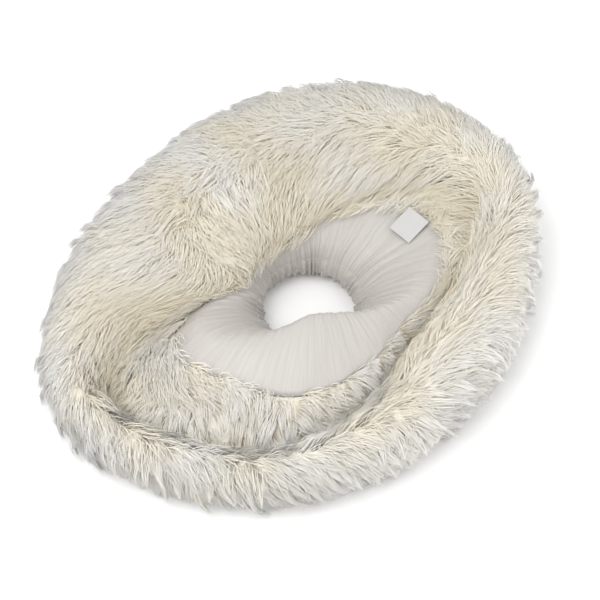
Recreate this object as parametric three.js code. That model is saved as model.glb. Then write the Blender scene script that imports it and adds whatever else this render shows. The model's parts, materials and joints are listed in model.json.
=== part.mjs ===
// Closed-loop boa of long-pile faux fur with a gathered satin lining.
// The loop lies flat on the table: X is its long way, Y its short way, Z up, underside at Z = 0.
// All sizes are in millimetres and all angles in degrees, measured about Z from +X.
import * as THREE from 'three';

// ---- Overall size as it lies ----
const LOOP_LENGTH = 370;
const LOOP_WIDTH = 356;
const LOOP_HEIGHT = 92;

// ---- The neck hole, edged by an elastic hem ----
const HEM_RADIUS = 37.5;
const HEM_X = 9.9;
const HEM_Y = -8.7;
const HEM_HEIGHT = 15;
const HEM_TURN_UNDER = 7;
const HEM_TURN_HEIGHT = 4;
const HEM_FLAT_START = 26;
const LINING_RISE = 2;

// ---- Layers, from the pile tips inward ----
const PILE_DEPTH = 12;
const PILE_DEPTH_IN_CREASE = 9;
const PILE_DEPTH_AT_SEAM = 2;
const CREASE_FLOOR = 0.3;
const CREASE_RISE = 1.3;
const SEAM_TAPER = 18;
const LINING_THICKNESS = 1;
const FIT_GAP = 0.3;
const WADDING_GAP = 0.5;

// ---- Seams and threads ----
const THREAD_DIAMETER = 0.7;
const SEAM_OPENING = THREAD_DIAMETER + 4 * FIT_GAP;
const JOIN_THREAD_DEPTH = 1;
const JOIN_THREAD_END_GAP = 2;
const FUR_JOIN_RIGHT = 352.5;
const FUR_JOIN_LEFT = 202.5;
const LINING_JOIN = 322.5;

// ---- Elastic in its casing, just above the hem's edge ----
const ELASTIC_WIDTH = 6;
const ELASTIC_THICKNESS = 1;
const ELASTIC_ABOVE_HEM = 2.5;
const CASING_STITCH_MARGIN = 1.5;

// ---- Care label, a folded tape sewn into the upper seam ----
const LABEL_WIDTH = 20.5;
const LABEL_LENGTH = 23;
const LABEL_TAPE = 0.4;
const LABEL_FOLD_GAP = 0.4;
const LABEL_ANGLE = 35;
const LABEL_TWIST = 10;
const LABEL_CLEARANCE = 0.6;
const LABEL_TACK_DISTANCE = 1.4;
const LABEL_SET_BACK = 3.2;
const LABEL_TACK_INSET = 1;
const LABEL_FOOT_TURN = 15;
const LABEL_FOOT_MARGIN = 1;

// ---- The outline of the loop as it lies: distance from its middle, every 30 degrees from +X ----
// It is stretched afterwards to the overall size, so only its proportions matter.
const OUTLINE = [176, 206, 204, 182, 161, 156, 174, 197, 180, 165, 156, 160];

// ---- The loop's long lines, every 30 degrees from +X ----
// A reach says how far a line lies from the hem (0) to the outline (1).
// A height is a share of the loop's height.
const CROWN_REACH = [0.77, 0.85, 0.73, 0.67, 0.65, 0.65, 0.74, 0.89, 0.89, 0.88, 0.81, 0.74];
const CROWN_HEIGHT = [0.8, 0.89, 0.96, 0.99, 1.0, 0.96, 0.85, 0.7, 0.62, 0.61, 0.65, 0.72];
const CREASE_REACH = [0.58, 0.68, 0.34, 0.15, 0.1, 0.11, 0.18, 0.76, 0.82, 0.76, 0.57, 0.45];
const CREASE_HEIGHT = [0.5, 0.63, 0.59, 0.55, 0.54, 0.53, 0.48, 0.33, 0.3, 0.29, 0.35, 0.44];
const SEAM_REACH = [0.5, 0.48, 0.29, 0.12, 0.06, 0.07, 0.14, 0.45, 0.49, 0.53, 0.46, 0.38];
const SEAM_HEIGHT = [0.56, 0.55, 0.54, 0.5, 0.46, 0.45, 0.45, 0.56, 0.66, 0.65, 0.61, 0.58];
const CREST_REACH = [0.33, 0.35, 0.23, 0.09, 0.035, 0.045, 0.08, 0.3, 0.25, 0.11, 0.11, 0.22];
const CREST_HEIGHT = [0.58, 0.5, 0.47, 0.42, 0.38, 0.36, 0.39, 0.66, 0.77, 0.82, 0.76, 0.68];

// ---- How a cross-section runs between those lines ----
const SIDE_TUCK = 2;
const SIDE_LOW = 0.2;
const SIDE_MIDDLE = 0.5;
const SHOULDER = { reach: 0.3, height: 0.84 };
const FLANK = { reach: 0.6, height: 0.38 };
const SLOPE = { reach: 0.38, height: 0.6 };
const BOTTOM_SEAM_INSET = 34;
const BOTTOM_EDGE_INSET = 14;

// ---- Numbers of the points that a cross-section's closed curve runs through ----
const AT_BOTTOM_SEAM = 1;
const AT_CREASE = 8;
const AT_TOP_SEAM = 9;
const AT_HEM = 12;
const SECTION_POINTS = 15;

// ---- How finely the surfaces are drawn ----
const COLUMNS = 48;
const FUR_ROWS = 24;
const LINING_ROWS_ABOVE_CASING = 5;
const LINING_ROWS_BELOW_CASING = 8;
const THREAD_SIDES = 4;
const COLUMN_ANGLE = 360 / COLUMNS;
const FIT_PASSES = 4;
const DISTANCE_STEPS = 12;
const PATCH_TURN = 7;
const PATCH_SLIDE = 0.3;
const BEFORE_HEM = 0.25;
const FINE_SLIDE = 0.02;
const SMALL_SLIDE = 0.1;
const SMALL_TURN = 0.5;

const DEGREES = Math.PI / 180;
const { clamp, lerp, smoothstep } = THREE.MathUtils;

const FUR = material('fur', 0xe6e0d0, 0.95);
const SATIN = material('satin', 0xd9d5d0, 0.35);
const WADDING = material('wadding', 0xf4f2ec, 1.0);
const ELASTIC = material('elastic', 0xf0efec, 0.8);
const THREAD = material('thread', 0xe9e4d8, 0.6);
const TAPE = material('label_tape', 0xf7f7f5, 0.45);

function material(name, color, roughness) {
  const made = new THREE.MeshStandardMaterial({ color, roughness, metalness: 0 });
  made.name = name;
  return made;
}

function evenly(from, to, parts) {
  return Array.from({ length: parts + 1 }, (_, index) => lerp(from, to, index / parts));
}

// Smooth closed curve through values spaced evenly round the loop.
function readRound(values, angle) {
  const count = values.length;
  const place = (((angle / 360) * count) % count + count) % count;
  const first = Math.floor(place);
  const t = place - first;
  const [a, b, c, d] = [-1, 0, 1, 2].map((step) => values[(first + step + count) % count]);
  const slope = (c - a) * t;
  const bend = (2 * a - 5 * b + 4 * c - d) * t * t;
  const twist = (3 * b - a - 3 * c + d) * t * t * t;
  return b + 0.5 * (slope + bend + twist);
}

// How the outline and the heights are stretched to the overall size; set by fitToSize.
const fit = {
  scale: new THREE.Vector2(1, 1),
  shift: new THREE.Vector2(0, 0),
  height: LOOP_HEIGHT,
};

// The closed curve of one cross-section, numbered from the middle of the underside outward.
function sectionCurve(angle) {
  const direction = new THREE.Vector2(Math.cos(angle * DEGREES), Math.sin(angle * DEGREES));
  const edge = direction.clone().multiplyScalar(readRound(OUTLINE, angle)).multiply(fit.scale).add(fit.shift);
  const hem = direction.clone().multiplyScalar(HEM_RADIUS).add(new THREE.Vector2(HEM_X, HEM_Y));
  const span = edge.distanceTo(hem);
  const line = (reaches, heights) => ({
    reach: readRound(reaches, angle) * span,
    height: readRound(heights, angle) * fit.height,
  });
  const between = (from, to, share) => ({
    reach: lerp(from.reach, to.reach, share.reach),
    height: lerp(from.height, to.height, share.height),
  });
  const crown = line(CROWN_REACH, CROWN_HEIGHT);
  const crease = line(CREASE_REACH, CREASE_HEIGHT);
  const seam = line(SEAM_REACH, SEAM_HEIGHT);
  const crest = line(CREST_REACH, CREST_HEIGHT);
  const hemEdge = { reach: 0, height: HEM_HEIGHT };
  const outerEdge = { reach: span, height: 0 };
  const bottomSeam = span - BOTTOM_SEAM_INSET;
  const profile = [
    { reach: (HEM_FLAT_START + bottomSeam) / 2, height: LINING_RISE },
    { reach: bottomSeam, height: LINING_RISE / 2 },
    { reach: span - BOTTOM_EDGE_INSET, height: 0 },
    { reach: span - SIDE_TUCK, height: crown.height * SIDE_LOW },
    { reach: span, height: crown.height * SIDE_MIDDLE },
    between(outerEdge, crown, SHOULDER),
    crown,
    between(crown, crease, FLANK),
    crease,
    seam,
    crest,
    between(hemEdge, crest, SLOPE),
    hemEdge,
    { reach: HEM_TURN_UNDER, height: HEM_TURN_HEIGHT },
    { reach: HEM_FLAT_START, height: LINING_RISE },
  ];
  const points = profile.map(({ reach, height }) => {
    const place = hem.clone().lerp(edge, reach / span);
    return new THREE.Vector3(place.x, place.y, height);
  });
  return new THREE.CatmullRomCurve3(points, true, 'catmullrom', 0.5);
}

const sectionCurves = new Map();

// A point on the skin of the loop: angle round it, place along the cross-section.
function skin(angle, place) {
  const turned = ((angle % 360) + 360) % 360;
  if (!sectionCurves.has(turned)) {
    sectionCurves.set(turned, sectionCurve(turned));
  }
  const share = (((place / SECTION_POINTS) % 1) + 1) % 1;
  const point = sectionCurves.get(turned).getPoint(share);
  point.z = Math.max(point.z, 0);
  return point;
}

// Stretches and centres the outline until the finished skin has the stated size.
function fitToSize() {
  const wanted = new THREE.Vector3(LOOP_LENGTH, LOOP_WIDTH, LOOP_HEIGHT);
  for (let pass = 0; pass < FIT_PASSES; pass += 1) {
    sectionCurves.clear();
    const box = new THREE.Box3();
    for (let column = 0; column < COLUMNS; column += 1) {
      for (const place of furPlaces) {
        box.expandByPoint(skin(column * COLUMN_ANGLE, place));
      }
    }
    const ratio = wanted.clone().divide(box.getSize(new THREE.Vector3()));
    const middle = box.getCenter(new THREE.Vector3());
    fit.scale.multiply(new THREE.Vector2(ratio.x, ratio.y));
    fit.shift.sub(new THREE.Vector2(middle.x, middle.y));
    fit.height *= ratio.z;
  }
  sectionCurves.clear();
}

// Places of the rows of the fur panels and of the wadding beneath them.
const furPlaces = evenly(AT_BOTTOM_SEAM, AT_TOP_SEAM, FUR_ROWS);
fitToSize();

function acrossSkin(angle, place, step = FINE_SLIDE) {
  return skin(angle, place + step).sub(skin(angle, place - step)).divideScalar(2 * step);
}

function alongSkin(angle, place, step = SMALL_TURN) {
  return skin(angle + step, place).sub(skin(angle - step, place)).divideScalar(2 * step);
}

// Outward direction, averaged over a small patch so that neighbouring layers never fold.
function outward(angle, place) {
  const sum = new THREE.Vector3();
  for (const turn of [-1, 0, 1]) {
    for (const slide of [-2, -1, 0, 1, 2]) {
      const near = [angle + turn * PATCH_TURN, place + slide * PATCH_SLIDE];
      const square = alongSkin(...near).cross(acrossSkin(...near)).normalize();
      sum.addScaledVector(square, (2 - Math.abs(turn)) * (3 - Math.abs(slide)));
    }
  }
  return sum.normalize();
}

const normals = new Map();

// A point a given depth beneath the skin, measured square to the skin there or at a spot close by.
function beneath(angle, place, depth, squareTo = { angle, place }) {
  const key = `${squareTo.angle.toFixed(4)}/${squareTo.place.toFixed(4)}`;
  if (!normals.has(key)) {
    normals.set(key, outward(squareTo.angle, squareTo.place));
  }
  return skin(angle, place).addScaledVector(normals.get(key), -depth);
}

// Step along a cross-section that opens a gap in millimetres to the row's lines on both sides of it.
function placeShift(angle, place, gap) {
  const across = acrossSkin(angle, place, SMALL_SLIDE);
  const here = skin(angle, place);
  const rowSides = [-COLUMN_ANGLE, COLUMN_ANGLE].map((turn) => skin(angle + turn, place).sub(here));
  const widths = rowSides.map((side) => apart(across, side));
  return gap / Math.min(...widths);
}

// Turn round the loop that opens a gap in millimetres to the cross-section at a join.
function angleShift(angle, place, gap) {
  return gap / apart(alongSkin(angle, place), acrossSkin(angle, place, PATCH_SLIDE));
}

// Length of one direction measured square to another.
function apart(direction, other) {
  const unit = other.clone().normalize();
  return direction.clone().addScaledVector(unit, -direction.dot(unit)).length();
}

// Distance over the skin from one place on a cross-section to another.
function skinDistance(angle, from, to) {
  const stops = evenly(from, to, DISTANCE_STEPS).map((place) => skin(angle, place));
  return stops.slice(1).reduce((sum, stop, index) => sum + stop.distanceTo(stops[index]), 0);
}

// Depth of the fur panel: full on the rolls, less in the crease, thin where it is turned in at a seam.
function furDepth(angle, place) {
  const nearest = Math.min(
    skinDistance(angle, AT_BOTTOM_SEAM, place),
    skinDistance(angle, place, AT_TOP_SEAM),
  );
  const fromCrease = smoothstep(Math.abs(place - AT_CREASE), CREASE_FLOOR, CREASE_RISE);
  const onOuterRoll = lerp(PILE_DEPTH_IN_CREASE, PILE_DEPTH, fromCrease);
  const onRoll = place > AT_CREASE ? PILE_DEPTH_IN_CREASE : onOuterRoll;
  return lerp(PILE_DEPTH_AT_SEAM, onRoll, smoothstep(nearest, 0, SEAM_TAPER));
}

// Closed, outward-facing mesh from points and the four-sided or three-sided faces between them.
function solid(name, points, faces, look) {
  const triangles = [];
  for (const face of faces) {
    for (let corner = 2; corner < face.length; corner += 1) {
      triangles.push([face[0], face[corner - 1], face[corner]]);
    }
  }
  let volume = 0;
  for (const [a, b, c] of triangles) {
    volume += points[a].dot(points[b].clone().cross(points[c]));
  }
  const index = triangles.flatMap(([a, b, c]) => (volume > 0 ? [a, b, c] : [a, c, b]));
  const geometry = new THREE.BufferGeometry();
  const numbers = points.flatMap((point) => point.toArray());
  geometry.setAttribute('position', new THREE.Float32BufferAttribute(numbers, 3));
  geometry.setIndex(index);
  geometry.computeVertexNormals();
  const mesh = new THREE.Mesh(geometry, look);
  mesh.name = name;
  return mesh;
}

// A sheet with thickness: an outer and an inner grid, closed along all four edges.
function thickSheet(name, rows, columns, outerAt, innerAt, look) {
  const points = [];
  const outer = [];
  const inner = [];
  for (let row = 0; row <= rows; row += 1) {
    outer.push([]);
    inner.push([]);
    for (let column = 0; column <= columns; column += 1) {
      outer[row].push(points.push(outerAt(row, column)) - 1);
      inner[row].push(points.push(innerAt(row, column)) - 1);
    }
  }
  const faces = [];
  for (let row = 0; row < rows; row += 1) {
    for (let column = 0; column < columns; column += 1) {
      const [r, c] = [row + 1, column + 1];
      faces.push([outer[row][column], outer[r][column], outer[r][c], outer[row][c]]);
      faces.push([inner[row][column], inner[row][c], inner[r][c], inner[r][column]]);
    }
  }
  for (let row = 0; row < rows; row += 1) {
    const r = row + 1;
    faces.push([outer[row][0], inner[row][0], inner[r][0], outer[r][0]]);
    faces.push([outer[row][columns], outer[r][columns], inner[r][columns], inner[row][columns]]);
  }
  for (let column = 0; column < columns; column += 1) {
    const c = column + 1;
    faces.push([outer[0][column], outer[0][c], inner[0][c], inner[0][column]]);
    faces.push([outer[rows][column], inner[rows][column], inner[rows][c], outer[rows][c]]);
  }
  return solid(name, points, faces, look);
}

// A ring that is closed both ways, its cross-section given point by point.
function ring(name, sides, columns, pointAt, look) {
  const points = [];
  const faces = [];
  for (let column = 0; column < columns; column += 1) {
    for (let side = 0; side < sides; side += 1) {
      points.push(pointAt(side, column));
      const c = (column + 1) % columns;
      const s = (side + 1) % sides;
      faces.push([column * sides + side, column * sides + s, c * sides + s, c * sides + side]);
    }
  }
  return solid(name, points, faces, look);
}

// A round thread along a path; the path gives its middle, its direction and one sideways direction.
function threadPoint(path, side) {
  const turn = ((side + 0.5) / THREAD_SIDES) * 2 * Math.PI;
  const binormal = path.direction.clone().cross(path.sideways).normalize();
  const normal = binormal.clone().cross(path.direction).normalize();
  return path.middle.clone()
    .addScaledVector(normal, Math.cos(turn) * THREAD_DIAMETER / 2)
    .addScaledVector(binormal, Math.sin(turn) * THREAD_DIAMETER / 2);
}

function threadRing(name, pathAt) {
  return ring(name, THREAD_SIDES, COLUMNS, (side, column) => threadPoint(pathAt(column), side), THREAD);
}

function threadLine(name, steps, pathAt) {
  const points = [];
  const faces = [];
  for (let step = 0; step <= steps; step += 1) {
    const path = pathAt(step);
    for (let side = 0; side < THREAD_SIDES; side += 1) {
      points.push(threadPoint(path, side));
    }
  }
  for (let step = 0; step < steps; step += 1) {
    for (let side = 0; side < THREAD_SIDES; side += 1) {
      const s = (side + 1) % THREAD_SIDES;
      const here = step * THREAD_SIDES;
      const next = here + THREAD_SIDES;
      faces.push([here + side, here + s, next + s, next + side]);
    }
  }
  const last = steps * THREAD_SIDES;
  faces.push(Array.from({ length: THREAD_SIDES }, (_, side) => THREAD_SIDES - 1 - side));
  faces.push(Array.from({ length: THREAD_SIDES }, (_, side) => last + side));
  return solid(name, points, faces, THREAD);
}

// A row keeps one place on every cross-section, or a distance above the hem's edge.
function rowAtPlace(place) {
  return () => place;
}

function rowAboveHem(distance) {
  return (angle) => AT_HEM - placeShift(angle, AT_HEM - BEFORE_HEM, distance);
}

const furRows = furPlaces.map(rowAtPlace);
const elasticTop = rowAboveHem(ELASTIC_ABOVE_HEM + ELASTIC_WIDTH);
const elasticBottom = rowAboveHem(ELASTIC_ABOVE_HEM);
const liningRows = [
  ...evenly(AT_TOP_SEAM, AT_HEM - 1, LINING_ROWS_ABOVE_CASING).map(rowAtPlace),
  elasticTop,
  elasticBottom,
  ...evenly(AT_HEM, AT_BOTTOM_SEAM + SECTION_POINTS, LINING_ROWS_BELOW_CASING).map(rowAtPlace),
];

// Place of a panel's row on one cross-section, drawn back from both seams by half the opening.
function panelPlace(rows, row, angle) {
  const place = rows[row](angle);
  if (row === 0) {
    return place + placeShift(angle, place, SEAM_OPENING / 2);
  }
  return row === rows.length - 1 ? place - placeShift(angle, place, SEAM_OPENING / 2) : place;
}

// Column angle of a panel that runs from one join to the next, drawn back from both joins.
function panelAngle(from, column, columns, place) {
  const angle = from + column * COLUMN_ANGLE;
  if (column === 0) {
    return angle + angleShift(angle, place, SEAM_OPENING / 2);
  }
  return column === columns ? angle - angleShift(angle, place, SEAM_OPENING / 2) : angle;
}

// A sewn panel: its rows, the angles of its first and last column, and its depth row by row.
function panel(name, rows, from, to, depthAt, look) {
  const columns = Math.round((to - from) / COLUMN_ANGLE);
  const at = (row, column, depth) => {
    const sectionAngle = from + column * COLUMN_ANGLE;
    const place = panelPlace(rows, row, sectionAngle);
    const angle = panelAngle(from, column, columns, place);
    return beneath(angle, place, depth, { angle: sectionAngle, place: rows[row](sectionAngle) });
  };
  const outerAt = (row, column) => at(row, column, 0);
  const innerAt = (row, column) => {
    const angle = from + column * COLUMN_ANGLE;
    return at(row, column, depthAt(angle, rows[row](angle)));
  };
  return thickSheet(name, rows.length - 1, columns, outerAt, innerAt, look);
}

function furPanel(name, from, to) {
  return panel(name, furRows, from, to, furDepth, FUR);
}

function lining() {
  return panel('lining', liningRows, LINING_JOIN, LINING_JOIN + 360, () => LINING_THICKNESS, SATIN);
}

// The wadding keeps a gap to the fur and the lining, and has a channel for the elastic.
function waddingCore() {
  const beneathLining = LINING_THICKNESS + FIT_GAP;
  const beneathElastic = beneathLining + ELASTIC_THICKNESS + 2 * FIT_GAP;
  const beneathFur = (angle, place) => furDepth(angle, place) + WADDING_GAP;
  const inChannel = (row) => row === elasticTop || row === elasticBottom;
  const sides = [
    ...furRows.map((_, row) => ({ rows: furRows, row, depthAt: beneathFur })),
    ...liningRows.map((each, row) => {
      const depth = inChannel(each) ? beneathElastic : beneathLining;
      return { rows: liningRows, row, depthAt: () => depth };
    }),
  ];
  return ring('wadding_core', sides.length, COLUMNS, (side, column) => {
    const { rows, row, depthAt } = sides[side];
    const angle = column * COLUMN_ANGLE;
    const place = rows[row](angle);
    return beneath(angle, panelPlace(rows, row, angle), depthAt(angle, place), { angle, place });
  }, WADDING);
}

function elasticBand() {
  const outside = LINING_THICKNESS + FIT_GAP;
  const inside = outside + ELASTIC_THICKNESS;
  const corners = [
    { row: elasticTop, depth: outside },
    { row: elasticBottom, depth: outside },
    { row: elasticBottom, depth: inside },
    { row: elasticTop, depth: inside },
  ];
  return ring('elastic_band', corners.length, COLUMNS, (side, column) => {
    const { row, depth } = corners[side];
    const angle = column * COLUMN_ANGLE;
    return beneath(angle, row(angle), depth);
  }, ELASTIC);
}

// Path of a thread that runs round the loop along one row.
function roundPath(row, depth) {
  return (column) => {
    const angle = column * COLUMN_ANGLE;
    const pointAt = (turned) => beneath(turned, row(turned), depth);
    return {
      middle: pointAt(angle),
      direction: pointAt(angle + COLUMN_ANGLE).sub(pointAt(angle - COLUMN_ANGLE)).normalize(),
      sideways: outward(angle, row(angle)),
    };
  };
}

// Path of a thread that closes a join, running along one cross-section from seam to seam.
function joinPath(angle, rows, depth) {
  const places = rows.map((row) => row(angle));
  const last = places.length - 1;
  places[0] += placeShift(angle, places[0], JOIN_THREAD_END_GAP);
  places[last] -= placeShift(angle, places[last], JOIN_THREAD_END_GAP);
  return (step) => ({
    middle: beneath(angle, places[step], depth),
    direction: acrossSkin(angle, places[step], SMALL_SLIDE).normalize(),
    sideways: outward(angle, places[step]),
  });
}

// Frame of the label: its middle on the sewn edge, the edge direction, its length direction and its face.
function labelFrame() {
  const setBack = LABEL_SET_BACK + LABEL_WIDTH * Math.sin(LABEL_TWIST * DEGREES) / 2;
  const edge = AT_TOP_SEAM + placeShift(LABEL_ANGLE, AT_TOP_SEAM, setBack);
  const origin = skin(LABEL_ANGLE, edge);
  const along = alongSkin(LABEL_ANGLE, AT_TOP_SEAM, PATCH_TURN).normalize();
  along.applyAxisAngle(outward(LABEL_ANGLE, edge), -LABEL_TWIST * DEGREES);
  const reach = edge + placeShift(LABEL_ANGLE, edge, LABEL_LENGTH);
  const length = skin(LABEL_ANGLE, reach).sub(origin);
  length.addScaledVector(along, -length.dot(along)).normalize();
  const face = along.clone().cross(length);
  const frame = new THREE.Matrix4().makeBasis(along, length, face).setPosition(origin);
  const lift = highestUnder(frame) + LABEL_CLEARANCE;
  return frame.setPosition(origin.addScaledVector(face, lift));
}

// Height of the loop's skin above the label's plane, at its highest under the label.
function highestUnder(frame) {
  const toLabel = frame.clone().invert();
  let highest = 0;
  for (let turn = -LABEL_FOOT_TURN; turn <= LABEL_FOOT_TURN; turn += 1) {
    for (let place = AT_TOP_SEAM - 1; place < AT_HEM; place += SMALL_SLIDE) {
      const point = skin(LABEL_ANGLE + turn, place).applyMatrix4(toLabel);
      const beside = Math.abs(point.x) - LABEL_WIDTH / 2;
      const beyond = Math.max(-point.y, point.y - LABEL_LENGTH);
      if (Math.max(beside, beyond) < LABEL_FOOT_MARGIN) {
        highest = Math.max(highest, point.z);
      }
    }
  }
  return highest;
}

function careLabel(frame) {
  const tape = LABEL_TAPE;
  const thickness = 2 * tape + LABEL_FOLD_GAP;
  const outline = new THREE.Shape();
  outline.moveTo(0, 0);
  outline.lineTo(LABEL_LENGTH, 0);
  outline.lineTo(LABEL_LENGTH, thickness);
  outline.lineTo(0, thickness);
  outline.lineTo(0, thickness - tape);
  outline.lineTo(LABEL_LENGTH - tape, thickness - tape);
  outline.lineTo(LABEL_LENGTH - tape, tape);
  outline.lineTo(0, tape);
  outline.closePath();
  const geometry = new THREE.ExtrudeGeometry(outline, { depth: LABEL_WIDTH, bevelEnabled: false });
  geometry.translate(0, 0, -LABEL_WIDTH / 2);
  const toFrame = new THREE.Matrix4().makeBasis(
    new THREE.Vector3(0, 1, 0),
    new THREE.Vector3(0, 0, 1),
    new THREE.Vector3(1, 0, 0),
  );
  geometry.applyMatrix4(toFrame).applyMatrix4(frame);
  const mesh = new THREE.Mesh(geometry, TAPE);
  mesh.name = 'care_label';
  return mesh;
}

// The line of thread that holds the label's two cut ends down along the seam.
function labelTackThread(frame) {
  const along = new THREE.Vector3().setFromMatrixColumn(frame, 0);
  const face = new THREE.Vector3().setFromMatrixColumn(frame, 2);
  const start = new THREE.Vector3(0, -LABEL_TACK_DISTANCE, LABEL_TAPE).applyMatrix4(frame);
  const half = LABEL_WIDTH / 2 - LABEL_TACK_INSET;
  return threadLine('label_tack_thread', 1, (step) => ({
    middle: start.clone().addScaledVector(along, step === 0 ? -half : half),
    direction: along,
    sideways: face,
  }));
}

function build() {
  const boa = new THREE.Group();
  boa.name = 'fur_boa';
  const label = labelFrame();
  const seamDepth = LINING_THICKNESS / 2;
  const stitchDepth = -(THREAD_DIAMETER / 2 + FIT_GAP);
  const stitchTop = rowAboveHem(ELASTIC_ABOVE_HEM + ELASTIC_WIDTH + CASING_STITCH_MARGIN);
  const stitchBottom = rowAboveHem(ELASTIC_ABOVE_HEM - CASING_STITCH_MARGIN);
  const furJoin = (angle) => joinPath(angle, furRows, JOIN_THREAD_DEPTH);
  boa.add(
    furPanel('fur_panel_back', FUR_JOIN_RIGHT - 360, FUR_JOIN_LEFT),
    furPanel('fur_panel_front', FUR_JOIN_LEFT, FUR_JOIN_RIGHT),
    lining(),
    waddingCore(),
    elasticBand(),
    threadRing('top_seam_thread', roundPath(rowAtPlace(AT_TOP_SEAM), seamDepth)),
    threadRing('bottom_seam_thread', roundPath(rowAtPlace(AT_BOTTOM_SEAM), seamDepth)),
    threadRing('casing_stitch_upper', roundPath(stitchTop, stitchDepth)),
    threadRing('casing_stitch_lower', roundPath(stitchBottom, stitchDepth)),
    threadLine('fur_join_thread_right', furRows.length - 1, furJoin(FUR_JOIN_RIGHT)),
    threadLine('fur_join_thread_left', furRows.length - 1, furJoin(FUR_JOIN_LEFT)),
    threadLine('lining_join_thread', liningRows.length - 1, joinPath(LINING_JOIN, liningRows, seamDepth)),
    careLabel(label),
    labelTackThread(label),
  );
  return boa;
}

export default build();
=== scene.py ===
"""Looks of a closed-loop faux-fur boa: pile, backing, gathered satin lining, stitches, label and studio.

Everything is in metres in the frame's own axes. Angles are in degrees about Z from +X.
A place is a number along the loop's cross-section, from 0 in the middle of the underside, out and
up over the crown, down to the upper seam at 9, over the lining's crest to the hem at 12, and back.
"""

import json
import math

import bpy
import numpy as np
from bpy.props import FloatProperty, FloatVectorProperty, IntProperty, PointerProperty
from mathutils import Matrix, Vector


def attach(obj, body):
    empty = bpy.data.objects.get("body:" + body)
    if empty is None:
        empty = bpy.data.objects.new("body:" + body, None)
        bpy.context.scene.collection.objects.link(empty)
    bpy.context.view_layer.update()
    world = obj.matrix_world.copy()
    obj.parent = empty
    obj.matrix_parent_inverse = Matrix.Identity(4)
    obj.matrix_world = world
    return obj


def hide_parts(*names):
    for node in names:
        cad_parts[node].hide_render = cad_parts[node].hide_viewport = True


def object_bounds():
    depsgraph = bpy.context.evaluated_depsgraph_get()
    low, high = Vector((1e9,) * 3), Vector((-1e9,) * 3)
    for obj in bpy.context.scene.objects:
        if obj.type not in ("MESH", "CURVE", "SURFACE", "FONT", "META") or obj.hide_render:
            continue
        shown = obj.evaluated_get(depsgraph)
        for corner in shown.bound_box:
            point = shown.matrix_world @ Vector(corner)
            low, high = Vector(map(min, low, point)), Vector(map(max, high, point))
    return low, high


bl_info = {
    "name": "Fur boa",
    "version": (1, 0, 0),
    "blender": (4, 5, 0),
    "location": "3D View > Sidebar > Fur boa",
    "description": "Makes the pile, lining, stitches and label of a closed-loop fur boa",
    "category": "Object",
}

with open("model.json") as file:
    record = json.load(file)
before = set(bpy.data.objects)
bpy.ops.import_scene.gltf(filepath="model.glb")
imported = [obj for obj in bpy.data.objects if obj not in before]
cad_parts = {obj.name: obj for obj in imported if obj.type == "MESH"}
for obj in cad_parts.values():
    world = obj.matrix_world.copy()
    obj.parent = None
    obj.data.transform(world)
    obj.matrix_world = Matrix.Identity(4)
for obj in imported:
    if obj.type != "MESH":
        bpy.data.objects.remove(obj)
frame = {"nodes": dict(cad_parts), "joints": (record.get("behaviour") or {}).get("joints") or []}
CAD_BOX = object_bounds()
MM = 0.001

# ---- The loop's shape, as it lies ----
HEM_RADIUS = 37.5 * MM
HEM_MIDDLE = np.array([9.9, -8.7]) * MM
HEM_HEIGHT = 15 * MM
HEM_TURN_UNDER = 7 * MM
HEM_TURN_HEIGHT = 4 * MM
HEM_FLAT_START = 26 * MM
LINING_RISE = 2 * MM
SIDE_TUCK = 2 * MM
BOTTOM_SEAM_INSET = 34 * MM
BOTTOM_EDGE_INSET = 14 * MM
SIDE_LOW = 0.2
SIDE_MIDDLE = 0.5
SHOULDER = (0.3, 0.84)
FLANK = (0.6, 0.38)
SLOPE = (0.38, 0.6)

# Distance of the outline from the middle every 30 degrees; it is stretched to the frame's box.
OUTLINE = np.array([176, 206, 204, 182, 161, 156, 174, 197, 180, 165, 156, 160]) * MM

# The loop's long lines every 30 degrees. A reach runs from the hem (0) to the outline (1), and a
# height is a share of the loop's height.
CROWN = np.array([[0.77, 0.85, 0.73, 0.67, 0.65, 0.65, 0.74, 0.89, 0.89, 0.88, 0.81, 0.74],
                  [0.8, 0.89, 0.96, 0.99, 1.0, 0.96, 0.85, 0.7, 0.62, 0.61, 0.65, 0.72]])
CREASE = np.array([[0.58, 0.68, 0.34, 0.15, 0.1, 0.11, 0.18, 0.76, 0.82, 0.76, 0.57, 0.45],
                   [0.5, 0.63, 0.59, 0.55, 0.54, 0.53, 0.48, 0.33, 0.3, 0.29, 0.35, 0.44]])
SEAM = np.array([[0.5, 0.48, 0.29, 0.12, 0.06, 0.07, 0.14, 0.45, 0.49, 0.53, 0.46, 0.38],
                 [0.56, 0.55, 0.54, 0.5, 0.46, 0.45, 0.45, 0.56, 0.66, 0.65, 0.61, 0.58]])
CREST = np.array([[0.33, 0.35, 0.23, 0.09, 0.035, 0.045, 0.08, 0.3, 0.25, 0.11, 0.11, 0.22],
                  [0.58, 0.5, 0.47, 0.42, 0.38, 0.36, 0.39, 0.66, 0.77, 0.82, 0.76, 0.68]])

SECTION_POINTS = 15
AT_BOTTOM_SEAM = 1
AT_CREASE = 8
AT_TOP_SEAM = 9
AT_HEM = 12
LINING_END = AT_BOTTOM_SEAM + SECTION_POINTS
FIT_PASSES = 4

# ---- Layers ----
PILE_DEPTH = 12 * MM
PILE_DEPTH_IN_CREASE = 9 * MM
PILE_DEPTH_AT_SEAM = 2 * MM
CREASE_FLOOR = 0.3
CREASE_RISE = 1.3
SEAM_TAPER = 18 * MM
LINING_THICKNESS = 1 * MM
WADDING_GAP = 0.5 * MM
FUR_JOIN_RIGHT = 352.5
FUR_JOIN_LEFT = 202.5
LINING_JOIN = 322.5
ELASTIC_ABOVE_HEM = 2.5 * MM
ELASTIC_WIDTH = 6 * MM
CASING_STITCH_MARGIN = 1.5 * MM

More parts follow.
